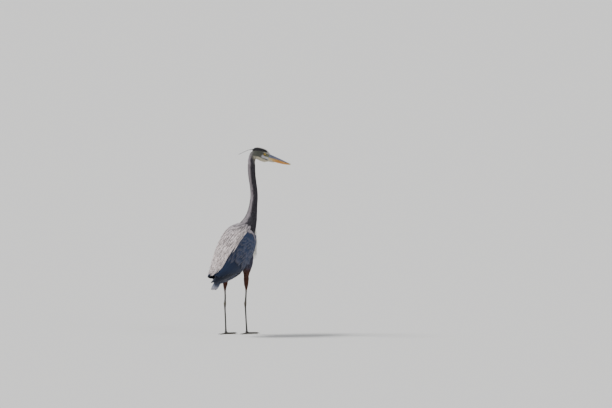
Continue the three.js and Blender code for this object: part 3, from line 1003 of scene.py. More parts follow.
# Outlines of a feather: [share of its length, share of its half width].
OUTLINES = {
    "contour": [
        (0, 0.16), (0.12, 0.45), (0.3, 0.82), (0.52, 1), (0.72, 0.96), (0.86, 0.74), (0.95, 0.46), (1, 0.16),
    ],
    "hackle": [
        (0, 0.25), (0.15, 0.6), (0.35, 0.95), (0.55, 1), (0.72, 0.78), (0.85, 0.5), (0.95, 0.25), (1, 0.06),
    ],
    "plume": [
        (0, 0.4), (0.12, 0.75), (0.3, 1), (0.5, 0.92), (0.68, 0.66), (0.82, 0.4), (0.93, 0.2), (1, 0.04),
    ],
    "flight": [(0, 0.3), (0.06, 0.8), (0.2, 1), (0.6, 1), (0.8, 0.95), (0.9, 0.78), (0.97, 0.45), (1, 0.12)],
}
# How many different vanes of one outline a coat picks from.
VANES = 4


def feather_form(name, outline, steps, across, ragged, seed):
    """A thin closed vane of unit length and width. Both faces share its rim, so that no edge is open."""
    draw = np.random.default_rng(seed)
    shares, widths = np.array(OUTLINES[outline]).T
    run = np.linspace(0, 1, steps)
    width = np.interp(run, shares, widths) / 2
    points, along, sides, layers = [], [], [], []
    spans = np.linspace(-1, 1, across)
    top, under = [], []

    def corner(x, y, side, layer):
        points.append((x, y, 0))
        along.append(min(max(x, 0), 1))
        sides.append(side)
        layers.append(layer)
        return len(points) - 1

    for i, x in enumerate(run):
        rim_slip = draw.uniform(-ragged, ragged, 2) * (0.35 + x)
        rim_cut = 1 - draw.uniform(0, 2.2 * ragged, 2) * (0.3 + x)
        row_top, row_under = [], []
        for j, side in enumerate(spans):
            y = side * width[i]
            barb = 0.05 * abs(side) * math.sin(math.pi * x)
            if j in (0, across - 1):
                rim = 0 if side < 0 else 1
                row_top.append(corner(x + rim_slip[rim] + barb, y * rim_cut[rim], side, 0))
                row_under.append(row_top[-1])
            else:
                crown = 1 - 0.5 * side * side
                row_top.append(corner(x + barb, y, side, crown))
                row_under.append(corner(x + barb, y, side, -0.6 * crown))
        top.append(row_top)
        under.append(row_under)
    faces = []
    for i in range(steps - 1):
        for j in range(across - 1):
            faces.append((top[i][j], top[i + 1][j], top[i + 1][j + 1], top[i][j + 1]))
            faces.append((under[i][j], under[i][j + 1], under[i + 1][j + 1], under[i + 1][j]))
    faces.append(tuple(top[0]) + tuple(reversed(under[0][1:-1])))
    faces.append(tuple(reversed(top[-1])) + tuple(under[-1][1:-1]))
    made = mesh_object(name, points, faces)
    give(made, "along", along)
    give(made, "across", sides)
    give(made, "ply", layers)
    return made


def feather_set(name, outline, steps, across, ragged, seed):
    """A few feathers of one outline, kept in a collection that the coat picks from."""
    kept = bpy.data.collections.new(name)
    for i in range(VANES):
        made = feather_form(f"{name}_{i}", outline, steps, across, ragged, seed + i)
        bpy.context.scene.collection.objects.unlink(made)
        kept.objects.link(made)
    bpy.context.scene.collection.children.link(kept)
    return kept


# The inputs of a coat's node tree: name, kind and default. Closest, Thickness and the heights are in metres.
FIELDS = (
    ("Surface", "Object"), ("Feathers", "Collection"), ("Material", "Material"), ("Closest", "Float", 0.003),
    ("Length", "Float", 0.02), ("Width", "Float", 0.006), ("Variation", "Float", 0.15),
    ("Sway", "Float", 0.16), ("Thickness", "Float", 0.0003), ("Root height", "Float", 0.001),
    ("Tip height", "Float", 0.004), ("Cup", "Float", 0.0008), ("Hug", "Float", 1.0),
    ("Patch", "Float", 0.003), ("Seed", "Int", 7),
)


def named(graph, name, kind="FLOAT"):
    return graph.add("GeometryNodeInputNamedAttribute", {"Name": name}, "Attribute", data_type=kind)


def stored(graph, geometry, name, value, kind="FLOAT", domain="POINT"):
    inputs = {"Geometry": geometry, "Name": name, "Value": value}
    return graph.add("GeometryNodeStoreNamedAttribute", inputs, "Geometry", data_type=kind, domain=domain)


def direction(graph, name):
    return named(graph, name, "FLOAT_VECTOR")


def random_draw(graph, seed, low=-1.0, high=1.0, kind="FLOAT"):
    inputs = {"Min": low, "Max": high, "Seed": seed}
    return graph.add("FunctionNodeRandomValue", inputs, "Value", data_type=kind)


def add_sockets(tree, way, *sockets):
    """Gives a tree inputs or outputs, each from its name, its kind and, where it has one, its default."""
    for name, kind, *default in sockets:
        socket = tree.interface.new_socket(name, in_out=way, socket_type="NodeSocket" + kind)
        if default:
            socket.default_value = default[0]


def coat_tree(scattered):
    """The node tree of a coat: roots over a bed or at given points, and a feather at each, laid down."""
    tree = bpy.data.node_groups.new("feather_coat" if scattered else "feather_rows", "GeometryNodeTree")
    tree.is_modifier = True
    add_sockets(tree, "INPUT", ("Geometry", "Geometry"), *FIELDS)
    add_sockets(tree, "OUTPUT", ("Geometry", "Geometry"))
    graph = Graph(tree)
    given = graph.add("NodeGroupInput").outputs
    seed = given["Seed"]
    if scattered:
        roots = graph.add("GeometryNodeDistributePointsOnFaces", {
            "Mesh": given["Geometry"], "Distance Min": given["Closest"], "Seed": seed, "Density Max": 1e7,
            "Density Factor": named(graph, "cover"),
        }, "Points", distribute_method="POISSON")
        roots = stored(graph, roots, "root_map", direction(graph, "OFBake"), "FLOAT_VECTOR")
    else:
        roots = graph.add("GeometryNodeMeshToPoints", {"Mesh": given["Geometry"]}, 0)
    roots = stored(graph, roots, "shade", random_draw(graph, seed))
    lie, outward = direction(graph, "lie"), direction(graph, "outward")
    sideways = graph.vectors("CROSS_PRODUCT", outward, lie)
    swing = graph.times(random_draw(graph, graph.plus(seed, 11)), given["Sway"])
    lie = graph.vectors("ADD", lie, graph.scaled(sideways, swing))
    turn = graph.add(
        "FunctionNodeAxesToRotation", {"Primary Axis": outward, "Secondary Axis": lie}, 0,
        primary_axis="Z", secondary_axis="X",
    )
    vary = graph.plus(graph.times(random_draw(graph, graph.plus(seed, 5)), given["Variation"]), 1.0)
    length = graph.times(graph.times(given["Length"], named(graph, "reach")), vary)
    width = graph.times(graph.times(given["Width"], named(graph, "breadth")), vary)
    size = graph.add("ShaderNodeCombineXYZ", {0: length, 1: width, 2: 1.0}, 0)
    source = graph.add(
        "GeometryNodeCollectionInfo", {"Collection": given["Feathers"], "Separate Children": True}, 0
    )
    pick = random_draw(graph, graph.plus(seed, 3), 0, VANES - 1, "INT")
    placed = graph.add("GeometryNodeInstanceOnPoints", {
        "Points": roots, "Instance": source, "Pick Instance": True, "Instance Index": pick, "Rotation": turn,
        "Scale": size,
    }, 0)
    whole = graph.add("GeometryNodeRealizeInstances", {"Geometry": placed}, 0)
    laid = lay_down(graph, whole, given)
    place = graph.add("ShaderNodeCombineXYZ", {
        0: graph.times(graph.minus(named(graph, "along"), 0.5), given["Patch"]),
        1: graph.times(graph.times(named(graph, "across"), 0.5), given["Patch"]),
    }, 0)
    place = graph.vectors("ADD", direction(graph, "root_map"), place)
    mapped = stored(graph, laid, "OFBake", place, "FLOAT2", "CORNER")
    done = graph.add("GeometryNodeSetMaterial", {"Geometry": mapped, "Material": given["Material"]}, 0)
    graph.put(graph.add("NodeGroupOutput"), 0, done)
    return tree


def lay_down(graph, geometry, given):
    """Moves each feather's corners to their height over the nearest place of the surface that it lies on."""
    surface = graph.add("GeometryNodeObjectInfo", {"Object": given["Surface"]}, "Geometry")
    here = graph.add("GeometryNodeInputPosition").outputs[0]
    near = graph.add("GeometryNodeProximity", {0: surface}, target_element="FACES")
    normal = graph.add(
        "GeometryNodeSampleNearestSurface", {0: surface, "Value": direction(graph, "outward")}, "Value",
        data_type="FLOAT_VECTOR",
    )
    along, across = named(graph, "along"), named(graph, "across")
    rise = graph.minus(given["Tip height"], given["Root height"])
    climb = graph.maths("POWER", along, 0.8)
    height = graph.times_plus(rise, climb, given["Root height"])
    height = graph.times(height, named(graph, "depth"))
    own = graph.times(named(graph, "shade"), graph.times(given["Variation"], 0.5))
    height = graph.times(height, graph.plus(own, 1.0))
    height = graph.plus(height, named(graph, "lift"))
    cup = graph.times(graph.times(across, across), given["Cup"])
    section = graph.times(cup, graph.times(along, -1.0))
    section = graph.times_plus(named(graph, "ply"), given["Thickness"], section)
    up = graph.scaled(normal, graph.plus(height, section))
    down = graph.vectors("ADD", graph.out(near, "Position"), up)
    free = graph.vectors("ADD", here, graph.scaled(direction(graph, "outward"), section))
    place = graph.add("ShaderNodeMix", {0: given["Hug"], 4: free, 5: down}, 1, data_type="VECTOR")
    return graph.add("GeometryNodeSetPosition", {"Geometry": geometry, "Position": place}, 0)


def grow(bed, tree, name, **inputs):
    """Runs a coat tree on a bed and gives back the plain mesh that it makes."""
    made = link(bed.data.copy(), name)
    coat = made.modifiers.new("coat", "NODES")
    coat.node_group = tree
    sockets = {item.name: item.identifier for item in tree.interface.items_tree if item.in_out == "INPUT"}
    for label, value in inputs.items():
        coat[sockets[label.replace("_", " ")]] = value
    applied(made, name)
    kept = inputs["Feathers"]
    drop(*kept.objects)
    bpy.data.collections.remove(kept)
    forget(made, "root_map", "outward", "lie", "reach", "breadth", "depth", "lift", "cover", "ply")
    shade_smooth(made.data)
    return made


# ---- finishes ----

FULL_TURN = 6.283
BARB_RELIEF = 0.00012
LEAST_ROUGHNESS = 0.22


def shader_group(name, inputs, outputs):
    tree = bpy.data.node_groups.new(name, "ShaderNodeTree")
    add_sockets(tree, "INPUT", *inputs)
    add_sockets(tree, "OUTPUT", *outputs)
    graph = Graph(tree)
    return tree, graph, graph.add("NodeGroupInput").outputs, graph.add("NodeGroupOutput")


def vane_group():
    """A feather's own pattern: slanting barbs, a shaft, a pale fringe and a shade of its own, over a darker
    base that is partly the grey down and partly painted shade where the next feathers overlap it.
    """
    inputs = [("Colour", "Color"), ("Fringe", "Color"), ("Fringe share", "Float"), ("Barbs", "Float"),
              ("Contrast", "Float"), ("Shaft", "Float"), ("Variety", "Float"), ("Root shade", "Float")]
    outputs = [("Colour", "Color"), ("Height", "Float")]
    tree, graph, given, result = shader_group("feather_vane", inputs, outputs)
    along, shade = graph.attribute("along"), graph.attribute("shade")
    side = graph.maths("ABSOLUTE", graph.attribute("across"))
    slant = graph.times_plus(side, -0.35, along)
    phase = graph.times_plus(slant, given["Barbs"], graph.times(shade, 9.0))
    barb = graph.maths("SINE", graph.times(phase, FULL_TURN))
    coarse = graph.maths("SINE", graph.times(phase, 1.37))
    barb = graph.times_plus(coarse, 0.6, barb)
    shaft = graph.step(0.1, 0.02, side)
    fringe = graph.maths("MAXIMUM", graph.step(0.7, 1.0, along), graph.step(0.6, 1.0, side))
    fringe = graph.times(fringe, given["Fringe share"])
    fringe = graph.times(fringe, graph.step(0.15, 0.5, along))
    tone = graph.mix(fringe, given["Colour"], given["Fringe"])
    # Darker towards the root: partly the grey down, and partly painted shade where the next feathers lie over
    # it.
    root = graph.times(graph.step(0.75, 0.1, along), given["Root shade"])
    value = graph.minus(1.0, root)
    value = graph.times_plus(shade, given["Variety"], value)
    value = graph.times_plus(barb, given["Contrast"], value)
    value = graph.minus(value, graph.times(shaft, given["Shaft"]))
    tone = graph.scaled(tone, graph.maths("MAXIMUM", value, 0.05))
    height = graph.times_plus(shaft, 1.5, graph.times(barb, 0.5))
    graph.put(result, "Colour", tone)
    graph.put(result, "Height", height)
    return tree


def weather_group():
    """Slow patches of dust and wear over a surface."""
    tree, graph, given, result = shader_group(
        "weather", [("Colour", "Color"), ("Scale", "Float"), ("Amount", "Float")], [("Colour", "Color")]
    )
    cloud = graph.noise(graph.place(), given["Scale"], 4.0)
    value = graph.times_plus(graph.minus(cloud, 0.5), given["Amount"], 1.0)
    graph.put(result, "Colour", graph.scaled(given["Colour"], value))
    return tree


def group_in(graph, name, inputs):
    node = graph.add("ShaderNodeGroup")
    node.node_tree = bpy.data.node_groups[name]
    graph.fill(node, inputs)
    return node


def new_finish(name):
    material = bpy.data.materials.new(name)
    material.use_nodes = True
    material.node_tree.nodes.clear()
    graph = Graph(material.node_tree)
    shader = graph.add("ShaderNodeBsdfPrincipled")
    graph.put(graph.add("ShaderNodeOutputMaterial"), "Surface", shader.outputs[0])
    return material, graph, shader


def colour4(value):
    return (*value, 1.0)


def raised(graph, shader, height, distance, strength=1.0):
    bump = graph.add("ShaderNodeBump", {"Height": height, "Distance": distance, "Strength": strength}, 0)
    graph.put(shader, "Normal", bump)


def coat_finish(name, fringe, fringe_share=0.3, barbs=12.0, contrast=0.06, shaft=0.12, variety=0.07,
                root_down_and_shade=0.35, roughness=0.72):
    """The finish of a coat piece: each feather's own colour, worked over by the vane's pattern."""
    if name in bpy.data.materials:
        return bpy.data.materials[name]
    material, graph, shader = new_finish(name)
    base = graph.attribute("coat_colour", "Color")
    aged = group_in(graph, "weather", {"Colour": base, "Scale": 28.0, "Amount": 0.35})
    vane = group_in(graph, "feather_vane", {
        "Colour": aged.outputs[0], "Fringe": colour4(fringe), "Fringe share": fringe_share, "Barbs": barbs,
        "Contrast": contrast, "Shaft": shaft, "Variety": variety, "Root shade": root_down_and_shade,
    })
    graph.put(shader, "Base Color", vane.outputs["Colour"])
    raised(graph, shader, vane.outputs["Height"], BARB_RELIEF)
    graph.fill(shader, {
        "Roughness": roughness, "Specular IOR Level": 0.25, "Sheen Weight": 0.12, "Sheen Roughness": 0.5,
    })
    return material


def skin_finish():
    """Bare skin in its markings, with small plates on the legs and fine creases on the face."""
    material, graph, shader = new_finish("heron_skin")
    base = graph.attribute("coat_colour", "Color")
    place = graph.place()
    plates = graph.add(
        "ShaderNodeTexVoronoi", {"Vector": place, "Scale": 420.0}, "Distance", feature="DISTANCE_TO_EDGE"
    )
    seam = graph.times(graph.step(0.16, 0.02, plates), graph.attribute("scaly"))
    creases = graph.noise(place, 900.0, 3.0)
    value = graph.minus(1.0, graph.times(seam, 0.5))
    value = graph.times_plus(graph.minus(creases, 0.5), 0.5, value)
    tone = graph.scaled(base, value)
    aged = group_in(graph, "weather", {"Colour": tone, "Scale": 60.0, "Amount": 0.7})
    graph.put(shader, "Base Color", aged.outputs[0])
    raised(graph, shader, graph.minus(graph.times(creases, 0.35), seam), 0.0004)
    graph.put(shader, "Roughness", 0.55)
    return material


def horn_finish(name, ridge, edge, tip, base):
    """Horn of the bill: its ridge, cutting edge, tip and root each have a colour and run together."""
    material, graph, shader = new_finish(name)
    along, rise, pit = (graph.attribute(field) for field in ("along", "rise", "pit"))
    grain = graph.noise(graph.place(), 160.0, 5.0)
    run = graph.add("ShaderNodeCombineXYZ", {0: graph.times(along, 9.0), 1: graph.times(rise, 26.0)}, 0)
    fine = graph.add(
        "ShaderNodeTexNoise", {"Vector": run, "Scale": 1.0, "Detail": 6.0, "Roughness": 0.65}, "Fac"
    )
    wander = graph.times_plus(graph.minus(grain, 0.5), 0.3, rise)
    tone = graph.mix(graph.step(0.02, 0.26, wander), colour4(edge), colour4(ridge))
    tone = graph.mix(graph.step(0.5, 0.2, along), tone, colour4(base))
    tone = graph.mix(graph.step(0.7, 0.98, along), tone, colour4(tip))
    value = graph.times_plus(graph.minus(grain, 0.5), 0.5, 1.0)
    value = graph.times_plus(graph.minus(fine, 0.5), 0.9, value)
    value = graph.minus(value, graph.times(graph.step(0.24, 0.06, along), 0.25))
    # Painted shade in the nostril slits and in the grooves of both halves.
    value = graph.times(value, graph.minus(1.0, graph.times(pit, 0.85)))
    raised(graph, shader, graph.times_plus(fine, 0.8, grain), 0.0003, 0.6)
    graph.fill(shader, {
        "Base Color": graph.scaled(tone, value), "Roughness": graph.times_plus(grain, 0.22, LEAST_ROUGHNESS),
        "Coat Weight": 0.25, "Coat Roughness": 0.2,
    })
    return material


PUPIL = (0.003, 0.003, 0.004, 1)
EYE_RIM = (0.012, 0.01, 0.008, 1)


def eye_finish(iris, rim):
    """A black pupil in a streaked iris that darkens to its rim, under a clear wet coat."""
    material, graph, shader = new_finish("heron_eye")
    out, spoke = graph.attribute("from_pupil"), graph.attribute("spoke")
    streaks = graph.add(
        "ShaderNodeTexNoise", {"W": graph.times(spoke, 22.0), "Scale": 1.0}, "Fac", noise_dimensions="1D"
    )
    warm = graph.mix(graph.step(0.5, 0.95, out), colour4(iris), colour4(rim))
    warm = graph.scaled(warm, graph.times_plus(graph.minus(streaks, 0.5), 0.7, 1.0))
    tone = graph.mix(graph.step(0.46, 0.5, out), PUPIL, warm)
    tone = graph.mix(graph.step(0.92, 1.0, out), tone, EYE_RIM)
    graph.fill(shader, {
        "Base Color": tone, "Roughness": 0.12, "Coat Weight": 0.5, "Coat Roughness": 0.02,
        "Specular IOR Level": 0.3,
    })
    return material


def claw_finish(tone):
    material, graph, shader = new_finish("heron_claw")
    grain = graph.noise(graph.place(), 500.0, 4.0)
    graph.put(shader, "Base Color", graph.mix(grain, colour4(tone * 0.6), colour4(tone * 1.5)))
    raised(graph, shader, grain, 0.0002)
    graph.put(shader, "Roughness", 0.35)
    return material


def floor_finish(tone):
    material, graph, shader = new_finish("floor")
    graph.fill(shader, {"Base Color": colour4(tone), "Roughness": 0.9})
    return material


# ---- operators ----


class HeronStep(bpy.types.Operator):
    """Shared ground of the heron's operators"""

    bl_options = {"REGISTER", "UNDO"}

    def execute(self, context):
        self.make(context.scene)
        return {"FINISHED"}


def unwrap_whole(made):
    """An unwrap of the form's own shape, in flat islands."""
    choose(made)
    while made.data.uv_layers:
        made.data.uv_layers.remove(made.data.uv_layers[0])
    made.data.uv_layers.new(name="OFBake")
    bpy.ops.object.mode_set(mode="EDIT")
    bpy.ops.mesh.select_all(action="SELECT")
    bpy.ops.uv.smart_project(angle_limit=math.radians(66), island_margin=0.002)
    bpy.ops.object.mode_set(mode="OBJECT")


class HERON_OT_skin(HeronStep):
    """One skin from the bill's root to the toes, inside the depth of its coat"""

    bl_idname = "heron.skin"
    bl_label = "Skin"

    def make(self, scene):
        settings = scene.heron_skin
        skin = flesh_form(settings)
        points, normals, edges = points_of(skin), normals_of(skin), edges_of(skin)
        tract = tract_of(points)
        depth = coat_depth(points, tract, edges)
        inset = spread_smooth(normals, edges, 2)
        points = points - unit(inset) * depth[:, None]
        points = np.where((tract == "head")[:, None], gape_and_brow(points, unit(inset)), points)
        put_points(skin, points)
        for side, hand in HANDS:
            foot = leg_form(side, hand, settings)
            for name, toe in TOES.items():
                add_union(foot, toe_form(side, hand, name, toe))
            add_union(foot, foot_pad(side, hand))
            add_union(skin, foot)
        skin = joined("heron_skin", [skin, lid_ring(1), lid_ring(-1)])
        shade_smooth(skin.data)
        points, normals, edges, tract = store_lie(skin)
        tone = tones(scene.heron_colours)
        bare = bare_face(points) * (tract == "head")
        give_colours(skin, blend(markings(points, tract, tone), face_tone(points, tone), bare))
        give(skin, "bare", np.maximum(bare, tract == "leg"))
        give(skin, "scaly", (tract == "leg").astype(float))
        give(skin, "depth", coat_depth(points, tract, edges))
        unwrap_whole(skin)
        skin.data.materials.clear()
        skin.data.materials.append(skin_finish())
        piece_done(skin, "body_feathers", *SKIN_NODES)


class HeronCoatSettings(bpy.types.PropertyGroup):
    """Sizes and spacing of the feathers"""

    face_spacing: metres("Face spacing", "Between roots on the face", 0.0014)
    head_spacing: metres("Head spacing", "Between roots on the head", 0.0020)
    neck_spacing: metres("Neck spacing", "Between roots on the neck", 0.0030)
    body_spacing: metres("Body spacing", "Between roots on the body", 0.0052)
    thigh_spacing: metres("Thigh spacing", "Between roots on the thigh", 0.0030)
    wing_spacing: metres("Wing spacing", "Between lesser coverts", 0.0068)
    patch: FloatProperty(name="Patch", description="A feather's patch on the coat's map", default=0.003)
    seed: IntProperty(name="Seed", description="Start of every random draw", default=17)


def bed_of(skin, name, kept):
    """The part of the skin that a coat grows on, with its own unwrap."""
    bed = link(skin.data.copy(), name)
    bed.data.materials.clear()
    keep_corners(bed, kept)
    unwrap_whole(bed)
    return bed


def shared(name, make):
    """A node group or tree that several pieces use, made the first time it is asked for."""
    return bpy.data.node_groups.get(name) or make()


# How far along the bird the face's small feathers end, the neck's coat is parted in two, and the wing bends.
FACE_END = 62
NECK_MIDDLE = 330
WING_BEND = 620
# How long and how wide the feathers of the head and neck are: [distance along the bird, size].
FEATHER_LENGTHS = [(15, 3.6), (50, 5.5), (90, 9), (125, 13), (170, 20), (340, 25), (600, 38)]
FEATHER_WIDTHS = [(15, 1.5), (50, 2.0), (90, 2.6), (125, 3.0), (170, 3.5), (340, 4.6), (600, 7.5)]
# What a coat's bed tells its tree about each feather, besides its way out and its way of lying.
FEATHER_FIELDS = ("cover", "reach", "breadth", "lift")


class HERON_OT_small_feathers(HeronStep):
    """The short feathers of the head, neck, body, thighs and wing bends"""

    bl_idname = "heron.small_feathers"
    bl_label = "Small feathers"

    def make(self, scene):
        settings, tone = scene.heron_coat, tones(scene.heron_colours)
        skin = bpy.data.objects["heron_skin"]
        points, normals = points_of(skin), read(skin, "outward", 3)
        tract, along_bird = tract_of(points), body_place(points)[0]
        tree = shared("feather_coat", lambda: coat_tree(True))
        hidden = spread_smooth(covered_by_wings(points, normals), edges_of(skin), 3)
        trunk_middle = smooth_line(BODY_LINE, [0.75])[0]
        outer = (normals * unit(points - trunk_middle)).sum(1) > -0.2
        bare = read(skin, "bare")
        forward = head_place(points)[0]
        on_head, on_neck = tract == "head", tract == "neck"
        from_thigh = np.min([
            np.linalg.norm(nearest_on_line(points, line, 40)[1], axis=1) for line in THIGH_LINES.values()
        ], axis=0) / MM
        by_thigh = ramp(95, 62, from_thigh)
        feather_length = np.interp(along_bird, *np.array(FEATHER_LENGTHS).T)
        feather_width = np.interp(along_bird, *np.array(FEATHER_WIDTHS).T)
        # The neck feathers' fringe is a little paler than the cheek's colour, which is painted shade.
        pale = tone.cheek_painted_shade * 1.3
        soft = {"fringe_share": 0.16, "root_down_and_shade": 0.18, "variety": 0.06, "contrast": 0.09}
        past_bend = along_bird - WING_BEND
        coats = {
            "face_coat": SimpleNamespace(
                slot="head_feathers", where=on_head & (along_bird < FACE_END), spacing=settings.face_spacing,
                cover=(1 - bare) * ramp(50, 44, forward), steps=4, fringe=tone.crown, look={"barbs": 4.0},
            ),
            "head_coat": SimpleNamespace(
                slot="head_feathers", where=on_head & (along_bird >= FACE_END), spacing=settings.head_spacing,
                cover=1 - bare, steps=5, fringe=tone.crown, look={"barbs": 7.0},
            ),
            "neck_upper_coat": SimpleNamespace(
                slot="neck_feathers", where=on_neck & (along_bird < NECK_MIDDLE),
                spacing=settings.neck_spacing, cover=1.0, steps=6, fringe=pale, look={"barbs": 16.0},
            ),
            "neck_lower_coat": SimpleNamespace(
                slot="neck_feathers", where=on_neck & (along_bird >= NECK_MIDDLE),
                spacing=settings.neck_spacing * 1.22, cover=1.0, steps=6, fringe=pale, look={"barbs": 18.0},
            ),
            "body_coat": SimpleNamespace(
                slot="body_feathers", where=tract == "trunk", spacing=settings.body_spacing,
                cover=1 - hidden * ramp(670, 730, along_bird), steps=8, length=44 - 22 * by_thigh,
                width=9.5 - 4.5 * by_thigh, fringe=tone.scapular, look={"barbs": 30.0, "fringe_share": 0.12},
            ),
            "wing_coat": SimpleNamespace(
                slot="body_feathers", where=(tract == "wing") & outer, spacing=settings.wing_spacing,
                cover=(1 - hidden) * ramp(820, 770, along_bird), outline="contour", steps=7,
                length=20 + 0.13 * past_bend, width=9 + 0.03 * past_bend, fringe=tone.scapular,
                look={"barbs": 20.0, "fringe_share": 0.08},
            ),
            "thigh_coat": SimpleNamespace(
                slot="thigh_feathers", where=tract == "thigh", spacing=settings.thigh_spacing,
                cover=1 - hidden, steps=6, length=21, width=3.8, fringe=tone.rufous * 1.5,
                look={"barbs": 12.0},
            ),
        }
        for index, (name, coat) in enumerate(coats.items()):
            length, width = getattr(coat, "length", feather_length), getattr(coat, "width", feather_width)
            for label, values in zip(FEATHER_FIELDS, (coat.cover, length, width, 0.0)):
                give(skin, label, np.broadcast_to(values, len(points)))
            bed = bed_of(skin, name + "_bed", coat.where)
            outline = getattr(coat, "outline", "hackle")
            feathers = feather_set(name + "_vanes", outline, coat.steps, 3, 0.08, 40 + index)
            piece = grow(
                bed, tree, name, Surface=skin, Feathers=feathers,
                Material=coat_finish(name, coat.fringe, **{**soft, **coat.look}), Closest=coat.spacing,
                Length=MM, Width=MM, Root_height=0.2, Tip_height=1.2, Cup=0.0006, Seed=settings.seed + index,
                Patch=settings.patch,
            )
            drop(bed)
            piece_done(piece, coat.slot)
        forget(skin, *FEATHER_FIELDS)


# ---- wing, tail and long plumes ----

# A place on the folded wings is a share of the way from the rear to the front, and degrees up from the bird's
# side. A feather's rank is how far it is from the lowest or outermost of its row, as a share of the row.
FOLD_LINE = [on_body(along, 0, dorsal) for along, dorsal, *_ in FOLD_STATIONS]
FOLD_SECTIONS = MM * np.array([section for _, _, *section in FOLD_STATIONS])
PRIMARY_COUNT = 8
SECONDARY_COUNT = 17
WING_TIP_SHARES = {"left": 0.13, "right": 0.04}
# Rows of coverts: [feathers, share at roots, share at tips, lowest and highest angle, width, lift, blueness].
COVERT_ROWS = (
    (18, 0.73, 0.46, -36, 62, 24, 1.8, 0.2), (20, 0.77, 0.53, -36, 58, 21, 2.7, 0.3),
    (22, 0.80, 0.59, -35, 54, 19, 3.5, 0.4), (24, 0.835, 0.65, -32, 48, 17, 4.2, 0.5),
    (25, 0.86, 0.70, -28, 42, 15, 4.8, 0.6), (26, 0.89, 0.75, -20, 36, 13, 5.4, 0.7),
)
PLUME_ROWS = 21
PLUME_TOP = 88
# The lower edge of the plumes that hang over the wings: at these shares, this many degrees up.
PLUME_EDGE_SHARES = [0.18, 0.34, 0.6, 0.86, 0.98]
PLUME_EDGE_ANGLES = [65, 58, 50.5, 31, 16]
TAIL_COUNT = 12
TAIL_COVERT_COUNT = 9
FORENECK_COUNT = 74


def fold_place(share, angle, lift=0.0, hand=1):
    """A place on the folded wings' surface, or lift outside it, on the side that hand says."""
    share, angle, lift = np.broadcast_arrays(*np.atleast_1d(share, angle, lift))
    places, _, across, out = line_axes(FOLD_LINE, share)
    section = smooth_line(FOLD_SECTIONS, share)
    turn = np.radians(angle)
    depth = np.where(np.sin(turn) > 0, section[:, 1], section[:, 2])
    sideways = hand * np.cos(turn) * (section[:, 0] + MM * lift)
    outwards = np.sin(turn) * (depth + MM * lift)
    return places + across * sideways[:, None] + out * outwards[:, None]


def fold_outward(share, angle, hand):
    """The way out of the folded wings' surface."""
    turn, step = 0.5, 0.004
    share, angle = np.asarray(share), np.asarray(angle)
    round_it = fold_place(share, angle + turn, 0, hand) - fold_place(share, angle - turn, 0, hand)
    along_it = fold_place(share + step, angle, 0, hand) - fold_place(share - step, angle, 0, hand)
    return unit(np.cross(along_it, round_it) * -hand)


def fold_form(lift):
    """The folded wings' surface as a mesh, for the long feathers to lie on."""
    shares, angles = np.linspace(0.0, 1.0, 70), np.linspace(0, 360, 72, endpoint=False)
    rings = np.array([fold_place(share, angles, lift) for share in shares])
    made = ringed_form("fold", rings)
    give(made, "outward", normals_of(made))
    return made


def row_bed(name, rows):
    """Points with a feather each, from where it starts and ends, its way out, width, lift and colour."""
    bed = mesh_object(name + "_bed", rows.root, [])
    run = rows.tip - rows.root
    count = len(rows.root)
    give(bed, "lie", unit(run))
    give(bed, "outward", rows.outward)
    give(bed, "reach", np.linalg.norm(run, axis=1))
    give(bed, "breadth", MM * np.broadcast_to(rows.width, count))
    give(bed, "lift", MM * np.broadcast_to(rows.lift, count))
    give(bed, "depth", np.ones(count))
    give_colours(bed, rows.colour)
    give(bed, "root_map", np.column_stack((rows.map, np.zeros(count))))
    return bed


def grow_rows(name, rows, surface, feathers, finish, slot, node, **sizes):
    """A finished piece with a feather for each row, which stands for one solid."""
    bed = row_bed(name, rows)
    tree = shared("feather_rows", lambda: coat_tree(False))
    inputs = {"Length": 1.0, "Width": 1.0, "Variation": 0.03, "Sway": 0.02, "Thickness": 0.0004, **sizes}
    piece = grow(bed, tree, name, Surface=surface, Feathers=feathers, Material=finish, **inputs)
    drop(bed)
    piece_done(piece, slot, node)


def fold_rows(root_share, root_angle, tip_share, tip_angle, hand, width, lift, colours):
    """Rows of feathers whose roots and tips are given on the folded wings' surface."""
    return SimpleNamespace(
        root=fold_place(root_share, root_angle, 0, hand), tip=fold_place(tip_share, tip_angle, 0, hand),
        outward=fold_outward(root_share, root_angle, hand), width=width, lift=lift, colour=colours,
        map=np.column_stack((np.asarray(root_share), (np.asarray(root_angle) + 90) / 180)),
    )


def shaded(draw, base, count, spread=0.08):
    """Copies of a colour, each a little lighter or darker."""
    return np.asarray(base) * (1 + draw.uniform(-spread, spread, (count, 1)))


def fade(a, b, share):
    return np.asarray(a) * (1 - share[:, None]) + np.asarray(b) * share[:, None]


